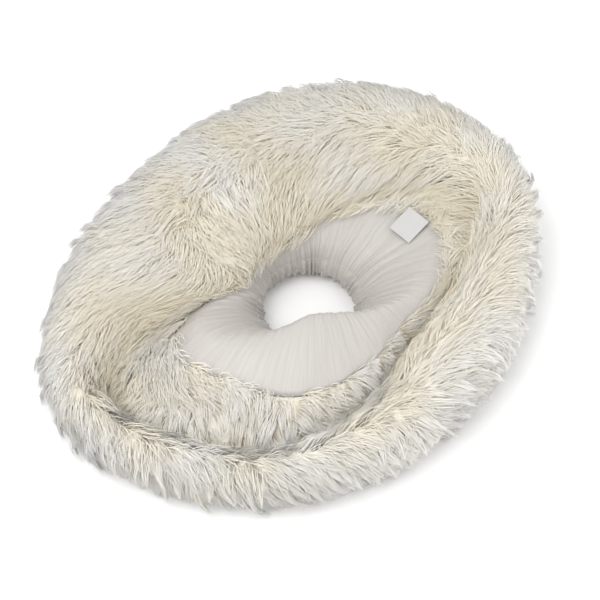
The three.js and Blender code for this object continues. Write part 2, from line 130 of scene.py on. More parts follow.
# ---- The measured table of the skin ----
PLACE_STEPS = 40
PATCH_TURN = 7
PATCH_SLIDE = 12
FLOOR_CLEARANCE = 0.3 * MM


def smooth_step(value, low, high):
    """Rises from 0 at low to 1 at high, with level ends: 3t squared less 2t cubed."""
    t = np.clip((value - low) / (high - low), 0, 1)
    return t * t * (3 - 2 * t)


def mix(a, b, share):
    return a + (b - a) * share


def unit(vectors):
    return vectors / np.maximum(np.linalg.norm(vectors, axis=-1, keepdims=True), 1e-12)


def through_points(a, b, c, d, t):
    """Catmull-Rom: the cubic from b to c whose slopes are half of c less a, and half of d less b."""
    slope = (c - a) * t
    bend = (2 * a - 5 * b + 4 * c - d) * t ** 2
    twist = (3 * b - a - 3 * c + d) * t ** 3
    return b + 0.5 * (slope + bend + twist)


def read_round(values, angle):
    """A smooth closed curve through values spaced evenly round the loop, read at each angle."""
    count = len(values)
    place = np.mod(np.asarray(angle, float) / 360 * count, count)
    first = np.floor(place).astype(int)
    near = [values[(first + step) % count] for step in (-1, 0, 1, 2)]
    return through_points(*near, place - first)


def section_points(angle, scale, shift, height):
    """The numbered points of each cross-section: reaches laid off from hem to outline, with heights."""
    turn = np.radians(angle)
    way = np.stack([np.cos(turn), np.sin(turn)], -1)
    edge = way * read_round(OUTLINE, angle)[:, None] * scale + shift
    hem = way * HEM_RADIUS + HEM_MIDDLE
    span = np.linalg.norm(edge - hem, axis=-1)

    def line(pair):
        return read_round(pair[0], angle) * span, read_round(pair[1], angle) * height

    def between(start, end, share):
        return tuple(mix(s, e, k) for s, e, k in zip(start, end, share))

    crown, crease, seam, crest = line(CROWN), line(CREASE), line(SEAM), line(CREST)
    bottom_seam = span - BOTTOM_SEAM_INSET
    profile = [
        ((HEM_FLAT_START + bottom_seam) / 2, LINING_RISE),
        (bottom_seam, LINING_RISE / 2),
        (span - BOTTOM_EDGE_INSET, 0),
        (span - SIDE_TUCK, crown[1] * SIDE_LOW),
        (span, crown[1] * SIDE_MIDDLE),
        between((span, 0), crown, SHOULDER),
        crown,
        between(crown, crease, FLANK),
        crease,
        seam,
        crest,
        between((0, HEM_HEIGHT), crest, SLOPE),
        (0, HEM_HEIGHT),
        (HEM_TURN_UNDER, HEM_TURN_HEIGHT),
        (HEM_FLAT_START, LINING_RISE),
    ]
    reach = np.stack([np.broadcast_to(point[0], span.shape) for point in profile], -1)
    rise = np.stack([np.broadcast_to(point[1], span.shape) for point in profile], -1)
    share = (reach / span[:, None])[..., None]
    flat = hem[:, None] + (edge - hem)[:, None] * share
    return np.concatenate([flat, rise[..., None]], -1)


def skin_table(scale, shift, height):
    """The skin at every whole degree and every fortieth of a place, once round the section."""
    points = section_points(np.arange(360.0), scale, shift, height)
    place = np.arange(SECTION_POINTS * PLACE_STEPS) / PLACE_STEPS
    first = np.floor(place).astype(int)
    near = [points[:, (first + step) % SECTION_POINTS] for step in (-1, 0, 1, 2)]
    table = through_points(*near, (place - first)[None, :, None])
    table[..., 2] = np.maximum(table[..., 2], 0)
    return table


def fitted_skin():
    """The skin with its outline stretched and centred until it fills the frame's box."""
    low, high = (np.array(corner) for corner in CAD_BOX)
    scale, shift, height = np.ones(2), np.zeros(2), high[2]
    fur = slice(AT_BOTTOM_SEAM * PLACE_STEPS, AT_TOP_SEAM * PLACE_STEPS + 1)
    for _ in range(FIT_PASSES):
        corners = skin_table(scale, shift, height)[:, fur].reshape(-1, 3)
        least, most = corners.min(0), corners.max(0)
        ratio = (high - low) / (most - least)
        scale = scale * ratio[:2]
        shift = shift - ((least + most) - (low + high))[:2] / 2
        height = height * ratio[2]
    return skin_table(scale, shift, height)


def outward_table(skin):
    """Outward direction: along cross across, averaged over a patch as the frame's own layers are."""
    along = np.roll(skin, -1, 0) - np.roll(skin, 1, 0)
    across = np.roll(skin, -1, 1) - np.roll(skin, 1, 1)
    square = unit(np.cross(along, across))
    total = np.zeros_like(square)
    for turn in (-1, 0, 1):
        for slide in (-2, -1, 0, 1, 2):
            weight = (2 - abs(turn)) * (3 - abs(slide))
            total += weight * np.roll(square, (turn * PATCH_TURN, slide * PATCH_SLIDE), (0, 1))
    return unit(total)


def past_the_seam(table):
    """The table carried on by one place, so that the lining's rows run on to the lower seam."""
    return np.concatenate([table, table[:, : PLACE_STEPS + 1]], 1)


SKIN = past_the_seam(fitted_skin())
OUTWARD = past_the_seam(outward_table(SKIN[:, : SECTION_POINTS * PLACE_STEPS]))
STEP_ACROSS = np.linalg.norm(np.diff(SKIN, axis=1), axis=-1)
RUN = np.concatenate([np.zeros((360, 1)), np.cumsum(STEP_ACROSS, 1)], 1)[..., None]


def look_up(table, angle, place):
    """Reads a table between its whole degrees and fortieths of a place, straight-line both ways."""
    angle, place = np.broadcast_arrays(np.asarray(angle, float), np.asarray(place, float))
    turn = np.mod(angle, 360)
    slide = np.clip(place, 0, LINING_END) * PLACE_STEPS
    i = np.floor(turn).astype(int)
    j = np.minimum(np.floor(slide).astype(int), table.shape[1] - 2)
    f, g = (turn - i)[..., None], (slide - j)[..., None]
    i, after = i % 360, (i + 1) % 360
    low = mix(table[i, j], table[after, j], f)
    high = mix(table[i, j + 1], table[after, j + 1], f)
    return mix(low, high, g)


def run_between(angle, start, end):
    """Distance over the skin between two places on a cross-section."""
    return np.abs(look_up(RUN, angle, end) - look_up(RUN, angle, start))[..., 0]


def across_rate(angle, place):
    """Metres across the skin for one place."""
    step = 1 / PLACE_STEPS
    return np.maximum(run_between(angle, place - step, place + step) / (2 * step), MM)


def along_rate(angle, place):
    """Metres along the loop for one degree."""
    step = look_up(SKIN, angle + 1, place) - look_up(SKIN, angle - 1, place)
    return np.linalg.norm(step, axis=-1) / 2


def fur_depth(angle, place):
    """Pile and backing together: full on the rolls, less in the crease, thin at the seams."""
    from_bottom = run_between(angle, AT_BOTTOM_SEAM, place)
    nearest = np.minimum(from_bottom, run_between(angle, place, AT_TOP_SEAM))
    from_crease = smooth_step(np.abs(place - AT_CREASE), CREASE_FLOOR, CREASE_RISE)
    outer = mix(PILE_DEPTH_IN_CREASE, PILE_DEPTH, from_crease)
    on_roll = np.where(place > AT_CREASE, PILE_DEPTH_IN_CREASE, outer)
    return mix(PILE_DEPTH_AT_SEAM, on_roll, smooth_step(nearest, 0, SEAM_TAPER))


def beneath(angle, place, depth):
    """Points a depth beneath the skin, along its averaged outward direction."""
    depth = np.broadcast_to(depth, np.broadcast(angle, place).shape)[..., None]
    return look_up(SKIN, angle, place) - look_up(OUTWARD, angle, place) * depth


def wander(points, wavelength, seed, waves=16):
    """Smooth seeded unevenness of about plus or minus 1: sine waves, each running its own way."""
    chance = np.random.default_rng(seed)
    ways = unit(chance.normal(size=(waves, 3)))
    ways *= 2 * math.pi / wavelength * chance.uniform(0.6, 1.4, (waves, 1))
    phases = chance.uniform(0, 2 * math.pi, waves)
    return np.sin(points @ ways.T + phases).sum(-1) / math.sqrt(waves)


# ---- Meshes from arrays ----

def placed(name, data):
    """A new object in the scene, at the origin."""
    thing = bpy.data.objects.new(name, data)
    bpy.context.scene.collection.objects.link(thing)
    return thing


def mesh_object(name, points, corners, sizes, uv):
    """A smooth-shaded object at the origin from points, face corners, corners per face and a UV map."""
    mesh = bpy.data.meshes.new(name)
    mesh.vertices.add(len(points))
    mesh.vertices.foreach_set("co", np.ascontiguousarray(points, np.float32).ravel())
    mesh.loops.add(len(corners))
    mesh.loops.foreach_set("vertex_index", np.ascontiguousarray(corners, np.int32))
    mesh.polygons.add(len(sizes))
    starts = np.concatenate([[0], np.cumsum(sizes)[:-1]])
    mesh.polygons.foreach_set("loop_start", starts.astype(np.int32))
    mesh.polygons.foreach_set("use_smooth", np.ones(len(sizes), bool))
    layer = mesh.uv_layers.new(name="surface")
    layer.uv.foreach_set("vector", np.ascontiguousarray(uv, np.float32).ravel())
    mesh.update(calc_edges=True)
    return placed(name, mesh)


def cloth_object(name, outer, inner, closed_round):
    """A sheet with thickness from an outer and an inner grid, rows across and columns along.

    Each square of four neighbours is one face, outer faces wind along then across, inner ones the
    other way, and a strip joins the two grids at every free edge.
    """
    rows, columns = outer.shape[:2]
    spans = columns if closed_round else columns - 1
    r, c = (grid.ravel() for grid in np.meshgrid(np.arange(rows - 1), np.arange(spans), indexing="ij"))
    round_c = np.arange(spans)
    up_r = np.arange(rows - 1)
    top, under = 0, 1

    def squares(layer):
        return [(r, c, layer), (r, c + 1, layer), (r + 1, c + 1, layer), (r + 1, c, layer)]

    def edge(row, column, next_row, next_column, near, far):
        return [(row, column, near), (next_row, next_column, near),
                (next_row, next_column, far), (row, column, far)]

    first, last = np.zeros(spans, int), np.full(spans, rows - 1)
    strips = [squares(top), squares(under)[::-1],
              edge(first, round_c, first, round_c + 1, under, top),
              edge(last, round_c, last, round_c + 1, top, under)]
    if not closed_round:
        left, right = np.zeros(rows - 1, int), np.full(rows - 1, spans)
        strips += [edge(up_r, left, up_r + 1, left, top, under),
                   edge(up_r, right, up_r + 1, right, under, top)]
    corners, places = [], []
    for strip in strips:
        row = np.stack([corner[0] for corner in strip], -1)
        column = np.stack([corner[1] for corner in strip], -1)
        layer = np.array([corner[2] for corner in strip])
        corners.append((layer * rows * columns + row * columns + column % columns).ravel())
        places.append(np.stack([column / spans, row / (rows - 1)], -1).reshape(-1, 2))
    corners = np.concatenate(corners)
    points = np.concatenate([outer.reshape(-1, 3), inner.reshape(-1, 3)])
    sizes = np.full(len(corners) // 4, 4)
    return mesh_object(name, points, corners, sizes, np.concatenate(places))


def ring_object(name, grid):
    """A body closed both ways round: rows run round its section, columns round the loop."""
    rows, columns = grid.shape[:2]
    r, c = (part.ravel() for part in np.meshgrid(np.arange(rows), np.arange(columns), indexing="ij"))
    row = np.stack([r, r, r + 1, r + 1], -1)
    column = np.stack([c, c + 1, c + 1, c], -1)
    corners = ((row % rows) * columns + column % columns).ravel()
    uv = np.stack([column / columns, row / rows], -1).reshape(-1, 2)
    return mesh_object(name, grid.reshape(-1, 3), corners, np.full(rows * columns, 4), uv)


def tube_points(centres, radii, up, sides):
    """Rings of points round each centre line, square to it, with the first way square to up."""
    heading = unit(np.gradient(centres, axis=1))
    a = unit(np.cross(heading, up[:, None]))
    b = np.cross(heading, a)
    turn = 2 * math.pi * np.arange(sides) / sides
    ways = a[..., None, :] * np.cos(turn)[:, None] + b[..., None, :] * np.sin(turn)[:, None]
    return centres[..., None, :] + ways * radii[..., None, None]


# How much of the map's width the sides of one tube take up; the rest tells the tubes' shades apart.
SHADE_WIDTH = 0.04


def tubes_object(name, centres, radii, up, sides, shade, lean=0):
    """Many tapering tubes in one object: rings of points at every stop but the last, where each tube
    comes to a point, and one face over its root. The map runs by shade, and from root to point.

    Lean is the share of each shading normal taken from the way up, so a coat of hairs shades as one.
    """
    count, stops = centres.shape[:2]
    rings = stops - 1
    around = tube_points(centres, np.broadcast_to(radii, (count, stops)), up, sides)[:, :rings]
    points = np.concatenate([around.reshape(count, rings * sides, 3), centres[:, -1:]], 1)
    corners = [list(range(sides))[::-1]]
    for ring in range(rings - 1):
        for side in range(sides):
            after = (side + 1) % sides
            low, high = ring * sides, (ring + 1) * sides
            corners.append([low + side, low + after, high + after, high + side])
    tip = rings * sides
    corners += [[tip - sides + side, tip - sides + (side + 1) % sides, tip] for side in range(sides)]
    sizes = np.tile([len(face) for face in corners], count)
    one = np.concatenate(corners)
    first = np.arange(count)[:, None] * (tip + 1)
    height = np.where(one == tip, rings, one // sides) / rings
    side_share = np.where(one == tip, 0.5, (one % sides) / sides) * SHADE_WIDTH
    uv = np.stack(np.broadcast_arrays(shade[:, None] * (1 - SHADE_WIDTH) + side_share, height), -1)
    piece = mesh_object(name, points.reshape(-1, 3), (one + first).ravel(), sizes, uv.reshape(-1, 2))
    if lean:
        radial = unit(around - centres[:, :rings, None])
        ends = unit(centres[:, -1:] - centres[:, -2:-1])
        own = np.concatenate([radial.reshape(count, rings * sides, 3), ends], 1)
        leaning = unit(mix(own, up[:, None], lean)).reshape(-1, 3)
        normals = piece.data.attributes.new("custom_normal", "FLOAT_VECTOR", "POINT")
        normals.data.foreach_set("vector", np.ascontiguousarray(leaning, np.float32).ravel())
    return piece


# ---- Materials ----

def new_material(name):
    """A node material, its tree and its Principled surface."""
    material = bpy.data.materials.new(name)
    material.use_nodes = True
    surface = material.node_tree.nodes["Principled BSDF"]
    return material, material.node_tree, surface


def add_node(tree, kind, inputs=(), **settings):
    """A node of one kind with its settings; inputs gives its sockets' values or what feeds them."""
    node = tree.nodes.new(kind)
    for name, value in settings.items():
        setattr(node, name, value)
    for name, value in dict(inputs).items():
        if isinstance(value, bpy.types.NodeSocket):
            tree.links.new(value, node.inputs[name])
        else:
            node.inputs[name].default_value = value
    return node


def colour_ramp(tree, factor, stops):
    ramp = add_node(tree, "ShaderNodeValToRGB", {"Fac": factor})
    elements = ramp.color_ramp.elements
    while len(elements) < len(stops):
        elements.new(0.5)
    for element, (position, colour) in zip(elements, stops):
        element.position = position
        element.color = (*colour, 1)
    return ramp.outputs["Color"]


def set_surface(surface, **values):
    for name, value in values.items():
        surface.inputs[name.replace("_", " ")].default_value = value


def cover(tree, surface, colour, normal, **values):
    """Joins a colour and a normal to the surface and sets its plain values."""
    tree.links.new(colour, surface.inputs["Base Color"])
    tree.links.new(normal, surface.inputs["Normal"])
    set_surface(surface, **values)


def stretched(tree, place, scale):
    return add_node(tree, "ShaderNodeMapping", {"Vector": place, "Scale": scale}).outputs["Vector"]


def object_place(tree, scale=(1, 1, 1)):
    """Object coordinates, stretched."""
    return stretched(tree, add_node(tree, "ShaderNodeTexCoord").outputs["Object"], scale)


def map_place(tree, scale=(1, 1, 1)):
    """The piece's own UV map, stretched."""
    return stretched(tree, add_node(tree, "ShaderNodeUVMap", uv_map="surface").outputs["UV"], scale)


def noise(tree, place, scale, detail, **inputs):
    """Cloudy noise between 0 and 1; the scale is how many clouds there are to a unit of place."""
    sockets = {"Vector": place, "Scale": scale, "Detail": detail, **inputs}
    return add_node(tree, "ShaderNodeTexNoise", sockets).outputs["Fac"]


def ribs(tree, place, scale, direction, **inputs):
    """Parallel ribs between 0 and 1, as a sine wave along one direction."""
    sockets = {"Vector": place, "Scale": scale, **inputs}
    return add_node(tree, "ShaderNodeTexWave", sockets, bands_direction=direction).outputs["Fac"]


def crossed(tree, operation, first, second):
    """Two patterns multiplied or added together."""
    both = add_node(tree, "ShaderNodeMath", operation=operation)
    tree.links.new(first, both.inputs[0])
    tree.links.new(second, both.inputs[1])
    return both.outputs["Value"]


def bump(tree, height, distance, **inputs):
    """The normal of a surface raised by a pattern, by up to a distance in metres."""
    sockets = {"Height": height, "Distance": distance, **inputs}
    return add_node(tree, "ShaderNodeBump", sockets).outputs["Normal"]


def darkened(tree, pattern, colour, low, share, high):
    """The colour where the pattern is high, and a share of it where the pattern is low."""
    return colour_ramp(tree, pattern, [(low, np.array(colour) * share), (high, colour)])


def pile_finish(settings):
    """Soft hairs: warm and darker at the root, partly as painted shade of the pile's depth, pale at the tip,
    from cream to white by their shade, whose darkest end is painted shade in the crease.
    """
    material, tree, surface = new_material("long_pile")
    place = add_node(tree, "ShaderNodeUVMap", uv_map="surface").outputs["UV"]
    split = add_node(tree, "ShaderNodeSeparateXYZ", {"Vector": place})
    root, tip = np.array(settings.root_cream_and_shade), np.array(settings.tip_colour)
    warm = np.array(settings.warm_colour)
    # The lowest stop, browner and darker than the warm colour, is painted shade where the crease pushes
    # hairs down to it, and the creamiest tone elsewhere.
    body = colour_ramp(tree, split.outputs["X"], [
        (0.0, mix(warm, warm * root, 0.4)), (0.25, warm), (0.6, mix(warm, tip, 0.6)), (1.0, tip)])
    # Darker and warmer towards the root: partly the fibre's cream, partly painted shade of the pile's depth.
    fade = colour_ramp(tree, split.outputs["Y"], [
        (0.0, root / tip), (0.55, mix(root / tip, 1, 0.8)), (0.9, (1, 1, 1))])
    blend = add_node(tree, "ShaderNodeMix", data_type="RGBA", blend_type="MULTIPLY")
    blend.inputs["Factor"].default_value = 1
    tree.links.new(body, blend.inputs["A"])
    tree.links.new(fade, blend.inputs["B"])
    tree.links.new(blend.outputs["Result"], surface.inputs["Base Color"])
    set_surface(surface, Roughness=0.62, Sheen_Weight=0.35, Sheen_Roughness=0.4, Specular_IOR_Level=0.25)
    return material


def under_fur_finish(settings):
    """The short dense fibre under the long pile: matted, streaked and warm, darker than the tips as partly
    painted shade of the hollows it lies in.
    """
    material, tree, surface = new_material("under_fur")
    fine = noise(tree, object_place(tree), 700, 5)
    broad = noise(tree, object_place(tree), 28, 2)
    root, warm = np.array(settings.root_cream_and_shade), np.array(settings.warm_colour)
    # Between the root and warm colours: darker than the tips, partly as painted shade of the pile's hollows.
    colour = colour_ramp(tree, broad, [(0.3, root), (0.7, warm)])
    normal = bump(tree, fine, 0.0012, Strength=0.8)
    cover(tree, surface, colour, normal, Roughness=0.95, Sheen_Weight=0.3)
    return material


def satin_finish(settings):
    """Satin: fine threads across the pleats, soft streaks down them, darker where low as painted shade, and
    a glossy float of weft.
    """
    material, tree, surface = new_material("gathered_satin")
    streaks = noise(tree, map_place(tree, (420, 5, 1)), 1, 4, Roughness=0.6)
    weave = ribs(tree, map_place(tree), 190, "Y", Distortion=1.5)
    # Darker where the streaks are low, in the hollows of their own bump: painted shade.
    colour = darkened(tree, streaks, settings.satin_colour, 0.3, 0.9, 0.62)
    rough = add_node(tree, "ShaderNodeMapRange", {"Value": streaks, "To Min": 0.42, "To Max": 0.26})
    streaked = bump(tree, streaks, 0.0005, Strength=0.7)
    woven = bump(tree, weave, 0.00005, Strength=0.4, Normal=streaked)
    tree.links.new(rough.outputs["Result"], surface.inputs["Roughness"])
    cover(tree, surface, colour, woven, Sheen_Weight=0.25, Sheen_Roughness=0.3, Anisotropic=0.4,
          Specular_IOR_Level=0.5)
    return material


def wadding_finish(colour):
    """Loose polyester fibre: soft cloudy lumps with fine hairs."""
    material, tree, surface = new_material("loose_wadding")
    clouds = noise(tree, object_place(tree), 60, 6)
    hairs = noise(tree, object_place(tree, (1, 4, 2)), 500, 3)
    shade = darkened(tree, clouds, colour, 0.3, 0.86, 0.7)
    cover(tree, surface, shade, bump(tree, hairs, 0.001), Roughness=1.0, Sheen_Weight=0.2)
    return material


def elastic_finish(colour):
    """Braided elastic: crossing ribs with painted shade darker between them."""
    material, tree, surface = new_material("braided_elastic")
    level = ribs(tree, object_place(tree), 240, "Z")
    slanted = ribs(tree, object_place(tree), 320, "DIAGONAL")
    braid = crossed(tree, "MULTIPLY", level, slanted)
    # Darker where the braid is low: painted shade between the ribs.
    shade = darkened(tree, braid, colour, 0.0, 0.7, 0.5)
    cover(tree, surface, shade, bump(tree, braid, 0.0003), Roughness=0.8)
    return material


def thread_finish(colour):
    """Spun thread: a two-ply twist along each stitch, a little darker between the plies as painted shade."""
    material, tree, surface = new_material("spun_thread")
    twist = ribs(tree, map_place(tree, (6, 3, 1)), 2.0, "DIAGONAL")
    # Darker between the plies: painted shade in the twist's grooves.
    shade = darkened(tree, twist, colour, 0.1, 0.78, 0.7)
    cover(tree, surface, shade, bump(tree, twist, 0.0001), Roughness=0.6, Sheen_Weight=0.2)
    return material


def label_finish(colour):
    """Woven label tape, plain and unprinted: fine ribs both ways, with painted shade a little darker between
    them.
    """
    material, tree, surface = new_material("blank_label_tape")
    warp = ribs(tree, map_place(tree), 22, "X")
    weft = ribs(tree, map_place(tree), 60, "Y")
    weave = crossed(tree, "ADD", warp, weft)
    # Darker where the weave is low: painted shade between the threads.
    shade = darkened(tree, weave, colour, 0.2, 0.9, 0.9)
    cover(tree, surface, shade, bump(tree, weave, 0.0001, Strength=0.5), Roughness=0.4, Sheen_Weight=0.2)
    return material


def dress(piece, material, body="boa"):
    """Gives a piece its material and the body it rides on."""
    piece.data.materials.clear()
    piece.data.materials.append(material)
    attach(piece, body)


# ---- Settings ----

def length(name, description, default):
    return FloatProperty(name=name, description=description, default=default, unit="LENGTH", precision=5)


def portion(name, description, default):
    return FloatProperty(name=name, description=description, default=default, min=0, max=1, subtype="FACTOR")


def colour(name, description, default):
    return FloatVectorProperty(name=name, description=description, default=default, subtype="COLOR",
                               size=3, min=0, max=1)


class BoaPile(bpy.types.PropertyGroup):
    """The long pile and the matted fibre it grows from."""
    tufts: IntProperty(name="Tufts", description="Number of tufts on both fur panels", default=3200)
    hairs: IntProperty(name="Hairs in a tuft", description="Hairs drawn together in one tuft", default=31)
    reach: length("Reach", "How far a hair's tip lies from its root over the skin", 23 * MM)
    thickness: length("Thickness", "Thickness of a hair at its root", 0.5 * MM)
    spread: length("Spread", "How far a tuft's roots lie from its middle", 3.8 * MM)
    stand: length("Stand", "How far the longest tufts stand beyond the mean pile height", 10 * MM)
    gather: portion("Gather", "How much a tuft's tips draw together", 0.72)
    under_fur: portion("Under-fur", "Share of the pile depth that short fibre fills", 0.88)
    tip_colour: colour("Tip colour", "Colour of the palest hairs", (0.88, 0.87, 0.85))
    warm_colour: colour("Warm colour", "Colour of the creamiest hairs", (0.87, 0.82, 0.70))
    # Partly the fibre's own cream, partly painted shade of the pile's depth.
    root_cream_and_shade: colour("Root colour", "Colour near the backing", (0.86, 0.80, 0.67))


class BoaLining(bpy.types.PropertyGroup):
    """The satin lining, gathered by the elastic in its hem."""
    pleats: IntProperty(name="Pleats", description="Gathers round the hem", default=40)
    pleat_height: length("Pleat height", "Height of the gathers at the hem", 3.8 * MM)
    pleat_run: length("Pleat run", "Distance from the hem over which the gathers fade", 30 * MM)
    fold_height: length("Fold height", "Height of the fine folds between the gathers", 0.7 * MM)
    satin_colour: colour("Satin colour", "Colour of the lining", (0.50, 0.475, 0.445))


class BoaSewing(bpy.types.PropertyGroup):
    """Stitches, label, elastic and wadding."""
    stitch: length("Stitch", "Length of one stitch", 2.6 * MM)
    gap: length("Gap", "Distance between two stitches", 0.9 * MM)
    thread: length("Thread", "Thickness of the thread", 0.5 * MM)
    thread_colour: colour("Thread colour", "Colour of the sewing thread", (0.78, 0.75, 0.69))
    tape: length("Label tape", "Thickness of the label's tape", 0.3 * MM)
    label_colour: colour("Label colour", "Colour of the blank label", (0.55, 0.545, 0.535))
    elastic_colour: colour("Elastic colour", "Colour of the elastic", (0.85, 0.84, 0.81))
    wadding_colour: colour("Wadding colour", "Colour of the wadding", (0.88, 0.87, 0.84))


class BoaStage(bpy.types.PropertyGroup):
    """Floor, light and camera."""
    floor_colour: colour("Floor colour", "Colour of the floor", (0.93, 0.93, 0.93))
    sky: FloatProperty(name="Surround", description="Strength of the even light all round", default=1.0)
    key: FloatProperty(name="Main light", description="Power of the large soft light", default=17,
                       subtype="POWER")
    distance: length("Camera distance", "Distance from the camera to the boa", 1.3)
    height: FloatProperty(name="Camera height", description="Angle of the camera above the floor",
                          default=math.radians(55), subtype="ANGLE")
    lens: FloatProperty(name="Lens", description="Focal length in millimetres", default=104)


# ---- Fur ----

PANELS = {
    "back": (FUR_JOIN_RIGHT - 360, FUR_JOIN_LEFT),
    "front": (FUR_JOIN_LEFT, FUR_JOIN_RIGHT),
}
PILE_PIECES = {"back": 6, "front": 4}
PANEL_COLUMNS_PER_DEGREE = 1.2
PANEL_ROWS = 72
BACKING_THICKNESS = 1.2 * MM
BACKING_CLEARANCE = 0.2 * MM

# The matted fibre's clumps: their mean and limits, then each wave's size, width and seed.
CLUMP_MEAN = 0.8
CLUMP_LIMITS = (0.4, 1.2)
CLUMP_WAVES = ((0.2, 14 * MM, 5), (0.12, 5 * MM, 6))
JOIN_GAP = 0.3
SEAM_GAP = 0.03

# Where the pile parts, every 30 degrees: beyond this place it lies inward over the seam.
PARTING = np.array([7.9, 7.0, 6.5, 6.3, 6.3, 6.6, 7.8, 8.6, 9.3, 9.8, 9.8, 8.9])
PARTING_WIDTH = 1.3
UNDERSIDE_END = 2.6
UNDERSIDE_SHARE = 0.3

# The pile's lay in degrees from straight along the loop, and the places where it turns.
LAY_ON_WALL = -55
LAY_ON_ROLL = -24
LAY_ON_BAND = -76
LAY_INWARD = 58
ROLL_TURN = (5, 6.8)
BAND_TURN = (7.7, 8.2)
SWIRL = 0.45
STRAY = 14

# Tufts: where the wall and the band begin and end, and the least and most of what chance gives.
WALL_START = (1.8, 2.6)
WALL_END = (4.8, 6)
BAND_START = (7.9, 8.3)
TUFT_REACH = (0.75, 1.2)
BAND_REACH = 1.15
PEAKED_SHARE = 0.25
LYING_STAND = (0, 0.6)
PEAKED_STAND = (0.5, 1)
TUFT_SPREAD = (0.8, 1.7)
DRAWN_SPREAD = 0.5
DRAWN_ON_BAND = 0.8
TUFT_GATHER = (0.1, 0.65)
BAND_GATHER = 0.2
PEAK_GATHER = 0.9

# Hairs.
HAIR_SEED = 20
STRAND_STOPS = 4
HAIR_SIDES = 3
HAIR_TAPER = np.array([0.5, 0.5, 0.44, 0.0])
NORMAL_LEAN = 0.95
ROOT_DEPTH = 0.75
LOOSENESS = (0.3, 1.7)
LONGEST = 1.05
SHORTFALL = 0.45
PEAKED_SHORTFALL = 0.4
HAIR_RISE = (0.4, 1.1)
LEAST_RISE = 0.8 * MM
PULL_OUT = 0.7
PULL_ALONG = 0.22

# The fringe along the upper seam, the hairs that bridge the crease, and how far tips may lie.
FRINGE = (AT_TOP_SEAM - 0.35, AT_TOP_SEAM - 0.05)
FRINGE_REACH = (-0.8, 0.5)
FRINGE_SHARE = 0.8
FRINGE_RISE = 2 * MM
FRINGE_SWELL = 8 * MM
CREASE_WIDTH = 0.3
OVER_CREASE_RISE = 6 * MM
TIP_PLACES = (0.4, AT_TOP_SEAM + 0.9)

# Shades, from the creamiest at 0 to the whitest at 1. The crease's drop towards 0 is painted shade.
INSIDE_OF_CROWN = (4.2, 7.2)
WALL_SHADE = 0.9
INSIDE_SHADE = 0.28
SHADE_WANDER = 0.28
# How far the crease's hairs are pushed down the shades: painted shade.
PAINTED_CREASE_SHADE = 0.9
BAND_SHADE = 0.5
HAIR_SHADE = 0.045

# The sector that the label sweeps, in degrees about its hinge.
SWEEP = (-8, 118)
SWEEP_MARGIN = 1.5 * MM


class BOA_OT_cut_backing(bpy.types.Operator):
    """Cuts the two fur panels' backing with its matted under-fur"""
    bl_idname = "boa.cut_backing"
    bl_label = "Fur backing"

    def execute(self, context):
        settings = context.scene.boa_pile
        material = under_fur_finish(settings)
        for side, (start, end) in PANELS.items():
            columns = int((end - start) * PANEL_COLUMNS_PER_DEGREE)
            angle = np.linspace(start + JOIN_GAP, end - JOIN_GAP, columns)[None, :]
            place = np.linspace(AT_BOTTOM_SEAM + SEAM_GAP, AT_TOP_SEAM - SEAM_GAP, PANEL_ROWS)[:, None]
            outer, inner = backing_layers(angle, place, settings.under_fur)
            piece = cloth_object(f"fur_backing_{side}", outer, inner, False)
            dress(piece, material)
            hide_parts(f"fur_panel_{side}")
        return {"FINISHED"}


def backing_layers(angle, place, under_fur):
    """Inner face just outside the wadding, outer face at the tops of the matted under-fur."""
    angle, place = np.broadcast_arrays(angle, place)
    depth = fur_depth(angle, place)
    inner = beneath(angle, place, depth)
    matted = BACKING_THICKNESS + under_fur * np.maximum(depth - PILE_DEPTH_AT_SEAM, 0)
    clumps = sum((size * wander(inner, width, seed) for size, width, seed in CLUMP_WAVES), CLUMP_MEAN)
    matted = np.minimum(matted * np.clip(clumps, *CLUMP_LIMITS), depth - BACKING_CLEARANCE)
    return beneath(angle, place, depth - matted), inner


PLASTIC = 1.32471795724


def scattered(count):
    """Even, unrepeating scatter over the unit square, from the plastic number's two powers."""
    order = np.arange(1, count + 1)[:, None]
    return np.mod(0.5 + order * np.array([1 / PLASTIC, 1 / PLASTIC ** 2]), 1)


def spread_over_fur(count):
    """Angle and place of points spread evenly by area over the fur, thinner on its underside."""
    rows = slice(AT_BOTTOM_SEAM * PLACE_STEPS, AT_TOP_SEAM * PLACE_STEPS)
    along = np.linalg.norm(np.roll(SKIN, -1, 0) - SKIN, axis=-1)[:, rows]
    area = along * STEP_ACROSS[:, rows]
    place = (np.arange(rows.start, rows.stop) + 0.5) / PLACE_STEPS
    area = area * np.where(place < UNDERSIDE_END, UNDERSIDE_SHARE, 1)
    spots = scattered(count)
    by_angle = np.concatenate([[0], np.cumsum(area.sum(1))])
    angle = np.interp(spots[:, 0], by_angle / by_angle[-1], np.arange(361.0))
    by_place = np.cumsum(area, 1)[np.floor(angle).astype(int) % 360]
    by_place /= by_place[:, -1:]
    found = (by_place < spots[:, 1:]).sum(1)
    return angle, AT_BOTTOM_SEAM + (found + 0.5) / PLACE_STEPS


def past_parting(angle, place, full):
    """Rises from 0 at half a width short of the parting to 1 at a distance of full past it."""
    return smooth_step(place - read_round(PARTING, angle), -PARTING_WIDTH / 2, full)


def lay_of_pile(angle, place, middle):
    """Which way the pile lies, as shares along the loop and across it.

    It sweeps along the loop and outward, lies flatter over the crown of the roll, and hangs straight
    out from the band between the crease and the seam. Inward of the parting it sweeps along and inward.
    """
    inward = past_parting(angle, place, PARTING_WIDTH / 2)
    swirl = SWIRL * wander(middle, 90 * MM, seed=11)
    outward = mix(LAY_ON_WALL, LAY_ON_ROLL, smooth_step(place, *ROLL_TURN))
    outward = mix(outward, LAY_ON_BAND, smooth_step(place, *BAND_TURN))
    turn = np.radians(mix(outward, LAY_INWARD, inward)) + swirl
    return np.cos(turn), np.sin(turn)


